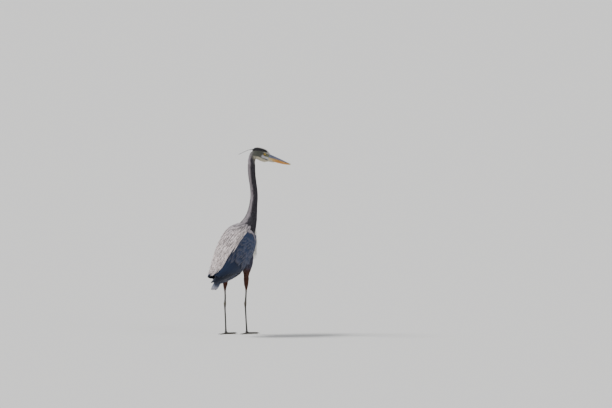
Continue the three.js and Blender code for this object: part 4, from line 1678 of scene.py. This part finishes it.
class HERON_OT_wing_feathers(HeronStep):
    """Coverts in rows, secondaries, tertials and primaries of both folded wings"""

    bl_idname = "heron.wing_feathers"
    bl_label = "Wing feathers"

    def make(self, scene):
        tone, seed = tones(scene.heron_colours), scene.heron_coat.seed
        surface = fold_form(0.0)
        for side, hand in HANDS:
            draw = np.random.default_rng(seed + hand)
            self.primaries(side, hand, tone, surface, draw)
            self.secondaries(side, hand, tone, surface, draw)
            self.coverts(side, hand, tone, surface, draw)
        drop(surface)

    def primaries(self, side, hand, tone, surface, draw):
        rank = np.linspace(0, 1, PRIMARY_COUNT)
        tip_share = WING_TIP_SHARES[side] + 0.10 * (1 - rank) ** 1.3
        rows = fold_rows(
            0.42 - 0.04 * rank, -24 + 50 * rank, tip_share, -34 + 82 * rank, hand, 30 - 6 * rank,
            -3.6 + 1.2 * rank, shaded(draw, tone.tip, PRIMARY_COUNT),
        )
        grow_rows(
            f"primaries_{side}", rows, surface,
            feather_set(f"primary_vanes_{side}", "flight", 22, 5, 0.008, 80),
            coat_finish("primary", tone.flight, 0.3, barbs=70, contrast=0.08, shaft=0.3, root_down_and_shade=0.1),
            "flight_feathers", f"wing_{side}_primaries", Root_height=-0.0005, Tip_height=0.0006, Cup=0.0022,
        )

    def secondaries(self, side, hand, tone, surface, draw):
        rank = np.linspace(0, 1, SECONDARY_COUNT)
        lower = ramp(0, 0.5, rank)
        colours = fade(tone.flight, tone.covert, ramp(0.35, 1, rank))
        rows = fold_rows(
            0.66 - 0.10 * rank, -38 + 106 * rank, 0.40 - 0.20 * lower - 0.05 * rank,
            -31 + 24 * lower + 70 * rank**1.4, hand, 33 + 3 * rank, -1.6 + 3.4 * rank,
            shaded(draw, colours, SECONDARY_COUNT, 0.07),
        )
        # The secondaries' fringe, in the wing tip's colour, darkens their ends and edges: partly their own
        # dark tips and partly painted shade in the gaps between the vanes.
        grow_rows(
            f"secondaries_{side}", rows, surface,
            feather_set(f"secondary_vanes_{side}", "flight", 24, 5, 0.01, 90),
            coat_finish("secondary", tone.tip, 0.6, barbs=80, contrast=0.07, shaft=0.35, root_down_and_shade=0.1),
            "flight_feathers", f"wing_{side}_secondaries", Root_height=0.0, Tip_height=0.0012, Cup=0.0024,
        )

    def coverts(self, side, hand, tone, surface, draw):
        parts = []
        for count, root, tip, low, high, width, lift, blueness in COVERT_ROWS:
            rank = np.linspace(0, 1, count)
            jitter = draw.uniform(-1, 1, (3, count))
            angle = low + (high - low) * rank
            colours = fade(tone.flight, tone.covert, np.full(count, blueness)) * 1.15
            parts.append(fold_rows(
                root - 0.03 * rank + 0.01 * jitter[0], angle + 1.5 * jitter[1],
                tip - 0.05 * rank + 0.02 * jitter[2], angle + 3 + 4 * rank, hand, width, lift + 0.9 * rank,
                shaded(draw, colours, count, 0.14),
            ))
        grow_rows(
            f"coverts_{side}", stacked(parts), surface,
            feather_set(f"covert_vanes_{side}", "contour", 14, 5, 0.02, 100),
            coat_finish("covert", tone.scapular, 0.08, barbs=40, contrast=0.07, shaft=0.25, root_down_and_shade=0.12),
            "body_feathers", f"wing_{side}_coverts", Root_height=-0.0015, Tip_height=0.0016, Cup=0.0015,
            Sway=0.05, Variation=0.06,
        )


def stacked(parts):
    """Several sets of rows as one."""
    made = SimpleNamespace()
    for key in ("root", "tip", "outward", "map", "colour"):
        setattr(made, key, np.vstack([getattr(part, key) for part in parts]))
    for key in ("width", "lift"):
        spread = [np.broadcast_to(getattr(part, key), len(part.root)) for part in parts]
        setattr(made, key, np.concatenate(spread))
    return made


class HERON_OT_back_plumes(HeronStep):
    """Long pale plumes of the shoulders, which hang over the wings"""

    bl_idname = "heron.back_plumes"
    bl_label = "Plumes of the back"

    def make(self, scene):
        tone, seed = tones(scene.heron_colours), scene.heron_coat.seed
        surface = fold_form(8.0)
        for side, hand in HANDS:
            draw = np.random.default_rng(seed + 20 * hand + 30)
            parts = []
            for share in np.linspace(0.97, 0.38, PLUME_ROWS):
                low = np.interp(share, PLUME_EDGE_SHARES, PLUME_EDGE_ANGLES) + 2
                count = int(13 + 8 * ramp(0.98, 0.8, share))
                angle = np.linspace(low, PLUME_TOP, count) + draw.uniform(-1.5, 1.5, count)
                reach = np.interp(share, [0.4, 0.6, 0.8, 0.96], [0.235, 0.235, 0.18, 0.12])
                tip = share - reach * draw.uniform(0.75, 1.12, count)
                below = np.interp(tip, PLUME_EDGE_SHARES, PLUME_EDGE_ANGLES)
                rank = (angle - low) / (PLUME_TOP - low)
                width = 9 * draw.uniform(0.75, 1.2, count)
                pale = fade(tone.scapular, tone.mantle, 0.1 + 0.5 * rank * ramp(0.6, 0.9, share))
                pale = fade(pale, tone.mantle * 0.7, np.full(count, ramp(0.86, 0.97, share)))
                # Painted shade: a few plumes darkened at random stand for the shade in the gaps between the
                # tufts.
                pale = fade(pale, tone.mantle * 0.3, 0.6 * (draw.uniform(0, 1, count) > 0.86))
                parts.append(fold_rows(
                    np.full(count, share) + draw.uniform(-0.01, 0.01, count), angle, tip,
                    below + (87 - below) * rank + draw.uniform(-4, 4, count), hand, width,
                    -2.0 - 2.5 * ramp(0.88, 0.97, share) + draw.uniform(-0.8, 0.8, count),
                    shaded(draw, pale, count, 0.26),
                ))
            grow_rows(
                f"back_plumes_{side}", stacked(parts), surface,
                feather_set(f"back_vanes_{side}", "plume", 14, 5, 0.03, 120),
                coat_finish(
                    "back_plume", tone.crown * 1.1, 0.22, barbs=60, contrast=0.08, shaft=0.28,
                    root_down_and_shade=0.34, variety=0.14,
                ),
                "pale_plume", f"scapulars_{side}", Root_height=-0.0035, Tip_height=0.0065, Cup=0.0012,
                Sway=0.1, Variation=0.1,
            )
        drop(surface)


class HERON_OT_tail(HeronStep):
    """Twelve tail feathers, closed, with the coverts over and under them"""

    bl_idname = "heron.tail"
    bl_label = "Tail"

    def make(self, scene):
        tone, seed = tones(scene.heron_colours), scene.heron_coat.seed
        draw = np.random.default_rng(seed + 60)
        surface = fold_form(0.0)
        middle = on_body(0, 0, 0)
        rank = np.linspace(-1, 1, TAIL_COUNT)
        order = 1 - abs(rank)
        parts = [SimpleNamespace(
            root=on_body(-120, 14 * rank, -2 + 2.2 * order),
            tip=on_body(-256 - 3 * order, 19 * rank, -24.5 + 3.4 * order),
            outward=np.tile(unit(on_body(0, 0, 1) - middle), (TAIL_COUNT, 1)), width=25, lift=0,
            colour=shaded(draw, tone.tail, TAIL_COUNT),
            map=np.column_stack((0.2 + 0.05 * rank, np.full(TAIL_COUNT, 0.2))),
        )]
        count = TAIL_COVERT_COUNT
        for over, reach, colour_here in ((1, 190, tone.mantle), (-1, 215, tone.flank)):
            for line in range(3):
                across = np.linspace(-1, 1, count) + draw.uniform(-0.05, 0.05, count)
                start, end = -110 - 12 * line, -reach + 22 * line
                up = 4.5 * over
                parts.append(SimpleNamespace(
                    root=on_body(start, 17 * across, up - 3),
                    tip=on_body(end, 24 * across, -15 + up * 1.3 - 0.5 * line * over),
                    outward=np.tile(unit(on_body(0, 0, over) - middle), (count, 1)), width=19, lift=0,
                    colour=shaded(draw, colour_here, count),
                    map=np.column_stack((0.5 + 0.1 * over + 0.02 * across, across * 0 + 0.5 + 0.05 * line)),
                ))
        grow_rows(
            "tail_feathers", stacked(parts), surface, feather_set("tail_vanes", "flight", 14, 5, 0.01, 140),
            coat_finish("tail", tone.scapular, 0.2, barbs=50, contrast=0.05, shaft=0.3, root_down_and_shade=0.1),
            "tail_feathers", "tail", Root_height=0.0, Tip_height=0.0, Cup=0.003, Hug=0.0, Variation=0.02,
        )
        drop(surface)


class HERON_OT_foreneck(HeronStep):
    """Narrow plumes that hang free from the base of the neck"""

    bl_idname = "heron.foreneck"
    bl_label = "Foreneck plumes"

    def make(self, scene):
        tone, seed = tones(scene.heron_colours), scene.heron_coat.seed
        draw = np.random.default_rng(seed + 70)
        count = FORENECK_COUNT
        side = draw.uniform(-1, 1, count)
        start = draw.uniform(600, 735, count)
        front = np.interp(start, [600, 650, 716, 740], [176, 174, 167, 160])
        root = at(front - 6 - 5 * side**2 - draw.uniform(0, 3, count), 12.5 * side, start)
        end = 449 + 26 * abs(side) + 150 * draw.uniform(0, 1, count) ** 2
        ahead = np.interp(end, [446, 560, 735], [182, 179, 168]) - 3 * abs(side)
        tip = at(ahead, side * (4 + 0.055 * (end - 446)), end)
        dark = draw.uniform(0, 1, count) > 0.84
        rows = SimpleNamespace(
            root=root, tip=tip, outward=unit(at(0.4, draw.uniform(-1, 1, count), 0) - at(0, 0, 0)),
            width=draw.uniform(3.2, 5.6, count), lift=0,
            colour=fade(tone.foreneck * 1.15, tone.streak * 2.2, dark.astype(float)),
            map=np.column_stack((0.5 + 0.4 * side, start / 1000)),
        )
        grow_rows(
            "foreneck_plumes_coat", rows, bpy.data.objects["heron_skin"],
            feather_set("foreneck_vanes", "hackle", 18, 3, 0.03, 160),
            coat_finish(
                "foreneck_plume", tone.chin, 0.25, barbs=40, contrast=0.05, root_down_and_shade=0.2, shaft=0.15,
            ),
            "foreneck_plume", "foreneck_plumes", Root_height=0.0, Tip_height=0.0008, Cup=0.0008, Hug=0.0,
            Variation=0.0, Sway=0.015,
        )


# The long crest plume and the tips of the short ones, in the head's own frame: [forward, out, up].
LONG_CREST = ((-76, 3.5, 26), (-94, 4, 17.5), (-122, 6, 4), (-152, 9, -20), (-180, 12, -47))
SHORT_CREST_TIPS = ((-122, 7, 2), (-114, 3, 7), (-110, 10, 6), (-106, 12.5, 4), (-104, 5, 12), (-100, 9, 11))
RIBBON_THICKNESS = 0.7


def ribbon(name, path, widths, steps):
    """A bent, rounded vane along a path."""
    shares = np.linspace(0, 1, steps)
    places, _, across, out = line_axes(path, shares)
    half = MM * np.interp(shares, np.linspace(0, 1, len(widths)), widths)
    angles = round_angles(10)
    rings = places[:, None] + across[:, None] * (np.cos(angles) * half[:, None])[..., None]
    rings = rings + out[:, None] * (np.sin(angles) * MM * RIBBON_THICKNESS * np.ones((steps, 1)))[..., None]
    made = ringed_form(name, rings)
    side = np.concatenate((np.tile(np.cos(angles), steps), [0, 0]))
    run = np.concatenate((np.repeat(shares, len(angles)), [0, 1]))
    give(made, "along", run)
    give(made, "across", side)
    give(made, "shade", np.zeros(len(side)))
    return made


def patch_map(made, patch):
    """An OFBake map in which each ribbon of the crest is one small patch, in a row over the crown's place."""
    along, across, ribbons = (read(made, name) for name in ("along", "across", "ribbon"))
    spots = np.column_stack((0.3 + 0.05 * ribbons + patch * (along - 0.5), 0.9 + patch * 0.5 * across))
    corners = np.zeros(len(made.data.loops), int)
    made.data.loops.foreach_get("vertex_index", corners)
    layer = made.data.uv_layers.new(name="OFBake")
    layer.data.foreach_set("uv", spots[corners].ravel())


class HERON_OT_crest(HeronStep):
    """The crest: two long black plumes from the nape, and shorter ones beside them"""

    bl_idname = "heron.crest"
    bl_label = "Crest plumes"

    def make(self, scene):
        tone = tones(scene.heron_colours)
        finish = coat_finish(
            "crest_plume", tone.streak * 2, barbs=60, contrast=0.1, shaft=0.2, root_down_and_shade=0.0, roughness=0.45
        )
        for side, hand in HANDS:
            path = [in_head(forward, hand * out, up) for forward, out, up in LONG_CREST]
            pieces = [ribbon(f"crest_{side}", path, [1.6, 2.3, 2.2, 1.7, 1.0, 0.25], 48)]
            for forward, out, up in SHORT_CREST_TIPS:
                path = [
                    in_head(-66, hand * out * 0.9, 29), in_head(-86, hand * out, 23),
                    in_head(forward, hand * (out + 1), up),
                ]
                pieces.append(ribbon(f"crest_short_{side}", path, [1.6, 2.6, 1.9, 0.3], 20))
            for index, made in enumerate(pieces):
                give(made, "ribbon", np.full(len(made.data.vertices), float(index)))
            piece = joined(f"crest_{side}_plumes", pieces)
            give_colours(piece, tone.cap)
            patch_map(piece, scene.heron_coat.patch)
            piece.data.materials.append(finish)
            piece_done(piece, "black_plume", f"crest_plume_{side}")


# ---- bill, eyes and claws ----

BILL_LENGTH = 145
BILL_HALF_WIDTH = 11
UPPER_BILL_DEPTH = 18
LOWER_BILL_DEPTH = 18
LIP = 1.2
# The bill from inside the head to its tip, as shares of its full length, half width and depths.
BILL_SHARES = [-0.09, 0, 0.3, 0.65, 0.93, 1]
BILL_WIDTHS = [0.85, 1, 0.72, 0.42, 0.16, 0.05]
UPPER_DEPTHS = [0.85, 1, 0.78, 0.42, 0.11, 0.04]
LOWER_DEPTHS = [0.85, 1, 0.93, 0.74, 0.32, 0.1]
BILL_STEPS, BILL_AROUND = 110, 40
EYE_AROUND = 48


class HeronBillSettings(bpy.types.PropertyGroup):
    """Colours of the bill, eyes and claws"""

    ridge: colour("Ridge", "Upper bill above its cutting edge", "666c82")
    edge: colour("Edge", "Along the cutting edges", "b3812f")
    lower: colour("Lower bill", "Sides of the lower bill", "c07f2a")
    tip: colour("Tip", "Tips of both halves", "b8a645")
    base: colour("Base", "Root of the lower bill, beside the chin", "c4b27c")
    iris: colour("Iris", "Iris of the eye", "e2b832")
    iris_rim: colour("Iris rim", "Outer part of the iris", "a8741c")
    claw: colour("Claw", "Claws", "2a2725")


def bill_form(name, depths, full_depth, up):
    """One half of the bill: a flat cutting edge, sides that hollow towards it, and a rounded ridge."""
    steps, around = BILL_STEPS, BILL_AROUND
    shares = np.linspace(0, 1, steps)
    stations = np.column_stack((BILL_SHARES, BILL_WIDTHS, depths))
    run, width, depth = smooth_line(stations, shares).T
    half = BILL_HALF_WIDTH * width * np.sqrt(1 - ramp(0.965, 1.01, shares) ** 2 * 0.9)
    tall = full_depth * depth
    angles = round_angles(around)
    above = np.maximum(np.sin(angles), 0)[None]
    below = np.maximum(-np.sin(angles), 0)[None]
    pinch = 1 - 0.14 * np.sin(math.pi * above) * (1 - 0.5 * shares[:, None])
    side = np.sign(np.cos(angles)) * abs(np.cos(angles)) ** 0.86
    sideways = side[None] * half[:, None] * pinch
    lip = np.minimum(LIP, 0.35 * tall)[:, None]
    rise = above**1.06 * tall[:, None] - below * lip
    forward = BILL_LENGTH * run[:, None] + 0 * sideways
    # How much painted shade lies in the nostril slit and the grooves, which the horn's finish darkens.
    pit = np.zeros_like(sideways)
    if up > 0:
        groove = bump_at(above, 0.62, 0.1) * ramp(4, 12, forward) * ramp(92, 60, forward)
        slit = bump_at(above, 0.6, 0.075) * ramp(10, 13, forward) * ramp(27, 23, forward)
        sideways = sideways - np.sign(sideways) * (0.7 * groove + 1.3 * slit)
        pit = np.maximum(slit, 0.25 * groove)
    else:
        seam = bump_at(above, 0.45, 0.08) * ramp(20, 40, forward) * ramp(130, 100, forward)
        sideways = sideways - np.sign(sideways) * 0.45 * seam
        pit = 0.2 * seam
    base = GAPE + up * (LIP + 0.15)
    rings = in_head(forward, sideways, base + up * rise)
    made = ringed_form(name, rings)
    give(made, "along", np.concatenate((np.repeat(shares, around), [0, 1])))
    give(made, "rise", np.concatenate(((above * np.ones((steps, 1))).ravel(), [0.5, 0.5])))
    give(made, "pit", np.concatenate((pit.ravel(), [0, 0])))
    return made


class HERON_OT_bill(HeronStep):
    """Both halves of the bill, with the nostril slits and their grooves"""

    bl_idname = "heron.bill"
    bl_label = "Bill"

    def make(self, scene):
        look = scene.heron_bill
        upper = bill_form("upper_bill_horn", UPPER_DEPTHS, UPPER_BILL_DEPTH, 1)
        upper.data.materials.append(horn_finish("upper_horn", look.ridge, look.edge, look.tip, look.ridge))
        piece_done(upper, "upper_bill_horn", "upper_bill")
        lower = bill_form("lower_bill_horn", LOWER_DEPTHS, LOWER_BILL_DEPTH, -1)
        lower.data.materials.append(horn_finish("lower_horn", look.lower, look.edge, look.tip, look.base))
        piece_done(lower, "lower_bill_horn", "lower_bill")


def eye_form(name, hand):
    """An eyeball with a slight bulge over the iris, in rings from the pupil out."""
    polar = np.radians(np.concatenate((np.linspace(0.6, 50, 30), np.linspace(56, 176, 22))))
    around = round_angles(EYE_AROUND)
    reach = EYE_RADIUS + 0.45 * ramp(np.radians(42), np.radians(10), polar)
    radial = (reach * np.sin(polar))[:, None]
    forward = EYE_FORWARD + radial * np.cos(around)
    up = EYE_UP + radial * np.sin(around)
    out = hand * (EYE_OUT + (reach * np.cos(polar))[:, None] * np.ones((1, EYE_AROUND)))
    made = ringed_form(name, in_head(forward, out, up))
    reach_share = np.clip(polar / np.radians(40), 0, 2)
    give(made, "from_pupil", np.concatenate((np.repeat(reach_share, EYE_AROUND), [0, 2])))
    give(made, "spoke", np.concatenate((np.tile(abs(around / math.pi - 1), len(polar)), [0, 0])))
    return made


class HERON_OT_eyes(HeronStep):
    """Both eyes"""

    bl_idname = "heron.eyes"
    bl_label = "Eyes"

    def make(self, scene):
        look = scene.heron_bill
        finish = eye_finish(look.iris, look.iris_rim)
        for side, hand in HANDS:
            eye = eye_form(f"eyeball_{side}", hand)
            eye.data.materials.append(finish)
            piece_done(eye, "eye", f"eye_{side}")


def claw_form(side, hand, name, toe):
    length, radius, claw = toe.length, toe.radius, toe.claw
    shares = np.linspace(0, 1, 26)
    stations = [
        [length - 2.5, 3.5, radius * 0.42, radius * 0.44],
        [length + claw * 0.3, 4.3, radius * 0.36, radius * 0.42],
        [length + claw * 0.7, 3.6, radius * 0.2, radius * 0.27],
        [length + claw, 1.5, 0.35, 0.35],
    ]
    forward, height, half, deep = smooth_line(stations, shares).T
    angles = round_angles(TOE_AROUND)
    sideways = np.cos(angles) * half[:, None]
    rise = height[:, None] + np.where(np.sin(angles) > 0, 1.0, 0.75) * np.sin(angles) * deep[:, None]
    return ringed_form(f"claw_{name}", by_toe(side, hand, toe, forward, sideways, np.maximum(rise, 0.1)))


class HERON_OT_claws(HeronStep):
    """The claws of both feet"""

    bl_idname = "heron.claws"
    bl_label = "Claws"

    def make(self, scene):
        finish = claw_finish(np.array(scene.heron_bill.claw))
        for side, hand in HANDS:
            claws = joined(f"claws_{side}", [claw_form(side, hand, name, toe) for name, toe in TOES.items()])
            claws.data.materials.append(finish)
            piece_done(claws, "claw", *(f"claw_{side}_{name}" for name in TOES))


# ---- floor, light and camera ----

# In metres, and away from the bird, because the bird stands to one side of the frame.
AIM = Vector((-0.279, -0.257, 0.803))
FLOOR_RADIUS = 220.0
FLOOR_CORNERS = 96
SKY_LIGHT = (0.92, 0.95, 1.0, 1.0)
BACKDROP_LIGHT = (1.0, 0.99, 0.97, 1.0)


def degrees(name, description, default):
    """An angle for the panel."""
    return FloatProperty(name=name, description=description, default=math.radians(default), subtype="ANGLE")


class HeronStageSettings(bpy.types.PropertyGroup):
    """Camera, light and floor"""

    azimuth: degrees("Azimuth", "Where the camera stands round the bird", 222)
    elevation: degrees("Elevation", "Height of the camera over level", 3.5)
    distance: metres("Distance", "From the camera to its aim", 31.4)
    lens: FloatProperty(name="Lens", description="Focal length in millimetres", default=300.0)
    key: FloatProperty(name="Key light", description="Strength of the main light", default=4.2)
    fill: FloatProperty(name="Fill light", description="Strength of the light from all round", default=0.6)
    backdrop: FloatProperty(name="Backdrop", description="Brightness behind the floor", default=1.05)
    floor: FloatVectorProperty(
        name="Floor", description="Colour of the floor", default=(0.62, 0.61, 0.59), subtype="COLOR", size=3
    )


def turned_to(way):
    """The turn that makes a lamp or a camera look this way."""
    return way.to_track_quat("-Z", "Y").to_euler()


class HERON_OT_stage(HeronStep):
    """Pale floor, soft light and the camera"""

    bl_idname = "heron.stage"
    bl_label = "Stage"

    def make(self, scene):
        settings = scene.heron_stage
        azimuth, elevation = settings.azimuth, settings.elevation
        level = Vector((math.sin(azimuth), -math.cos(azimuth), 0))
        up = Vector((0, 0, 1))
        back = level * math.cos(elevation) + up * math.sin(elevation)
        lens = bpy.data.cameras.new("camera")
        lens.lens = settings.lens
        lens.sensor_width = 36.0
        lens.clip_end = 600.0
        camera = link(lens, "camera")
        camera.location = AIM + back * settings.distance
        camera.rotation_euler = turned_to(-back)
        scene.camera = camera
        angles = round_angles(FLOOR_CORNERS)
        rim = FLOOR_RADIUS * np.stack((np.cos(angles), np.sin(angles), 0 * angles), axis=1)
        floor = mesh_object("floor", rim, [tuple(range(len(rim)))])
        floor.data.materials.append(floor_finish(settings.floor))
        left = level.cross(up)
        for name, strength, spread, toward in (
            ("key", settings.key, 14, left * 0.8 - level * 0.2 + up * 0.95),
            ("side", settings.key * 0.16, 40, left * -0.9 + level * 0.7 + up * 0.6),
        ):
            lamp = bpy.data.lights.new(name, "SUN")
            lamp.energy = strength
            lamp.angle = math.radians(spread)
            link(lamp, name).rotation_euler = turned_to(-toward)
        world = bpy.data.worlds.new("studio")
        world.use_nodes = True
        graph = Graph(world.node_tree)
        seen = graph.add("ShaderNodeLightPath", _out="Is Camera Ray")
        light = world.node_tree.nodes["Background"]
        strength = graph.times_plus(seen, settings.backdrop - settings.fill, settings.fill)
        graph.fill(light, {"Color": graph.mix(seen, SKY_LIGHT, BACKDROP_LIGHT), "Strength": strength})
        scene.world = world


# ---- add-on ----

SETTINGS = {
    "heron_skin": HeronSkinSettings, "heron_colours": HeronColours, "heron_coat": HeronCoatSettings,
    "heron_bill": HeronBillSettings, "heron_stage": HeronStageSettings,
}
STEPS = (
    HERON_OT_skin, HERON_OT_small_feathers, HERON_OT_wing_feathers, HERON_OT_back_plumes, HERON_OT_tail,
    HERON_OT_foreneck, HERON_OT_crest, HERON_OT_bill, HERON_OT_eyes, HERON_OT_claws, HERON_OT_stage,
)


class HERON_PT_panel(bpy.types.Panel):
    """Sizes, colours and steps of the heron"""

    bl_label = "Great blue heron"
    bl_idname = "HERON_PT_panel"
    bl_space_type = "VIEW_3D"
    bl_region_type = "UI"
    bl_category = "Heron"

    def draw(self, context):
        for name, kind in SETTINGS.items():
            box = self.layout.box()
            box.label(text=kind.__doc__)
            for field in kind.__annotations__:
                box.prop(getattr(context.scene, name), field)
        for step in STEPS:
            self.layout.operator(step.bl_idname)


def register():
    for name, kind in SETTINGS.items():
        bpy.utils.register_class(kind)
        setattr(bpy.types.Scene, name, PointerProperty(type=kind))
    for step in (*STEPS, HERON_PT_panel):
        bpy.utils.register_class(step)


def unregister():
    for step in (*STEPS, HERON_PT_panel):
        bpy.utils.unregister_class(step)
    for name, kind in SETTINGS.items():
        delattr(bpy.types.Scene, name)
        bpy.utils.unregister_class(kind)


def main():
    register()
    vane_group()
    weather_group()
    for step in STEPS:
        getattr(bpy.ops.heron, step.bl_idname.split(".")[1])()


if __name__ == "__main__":
    main()
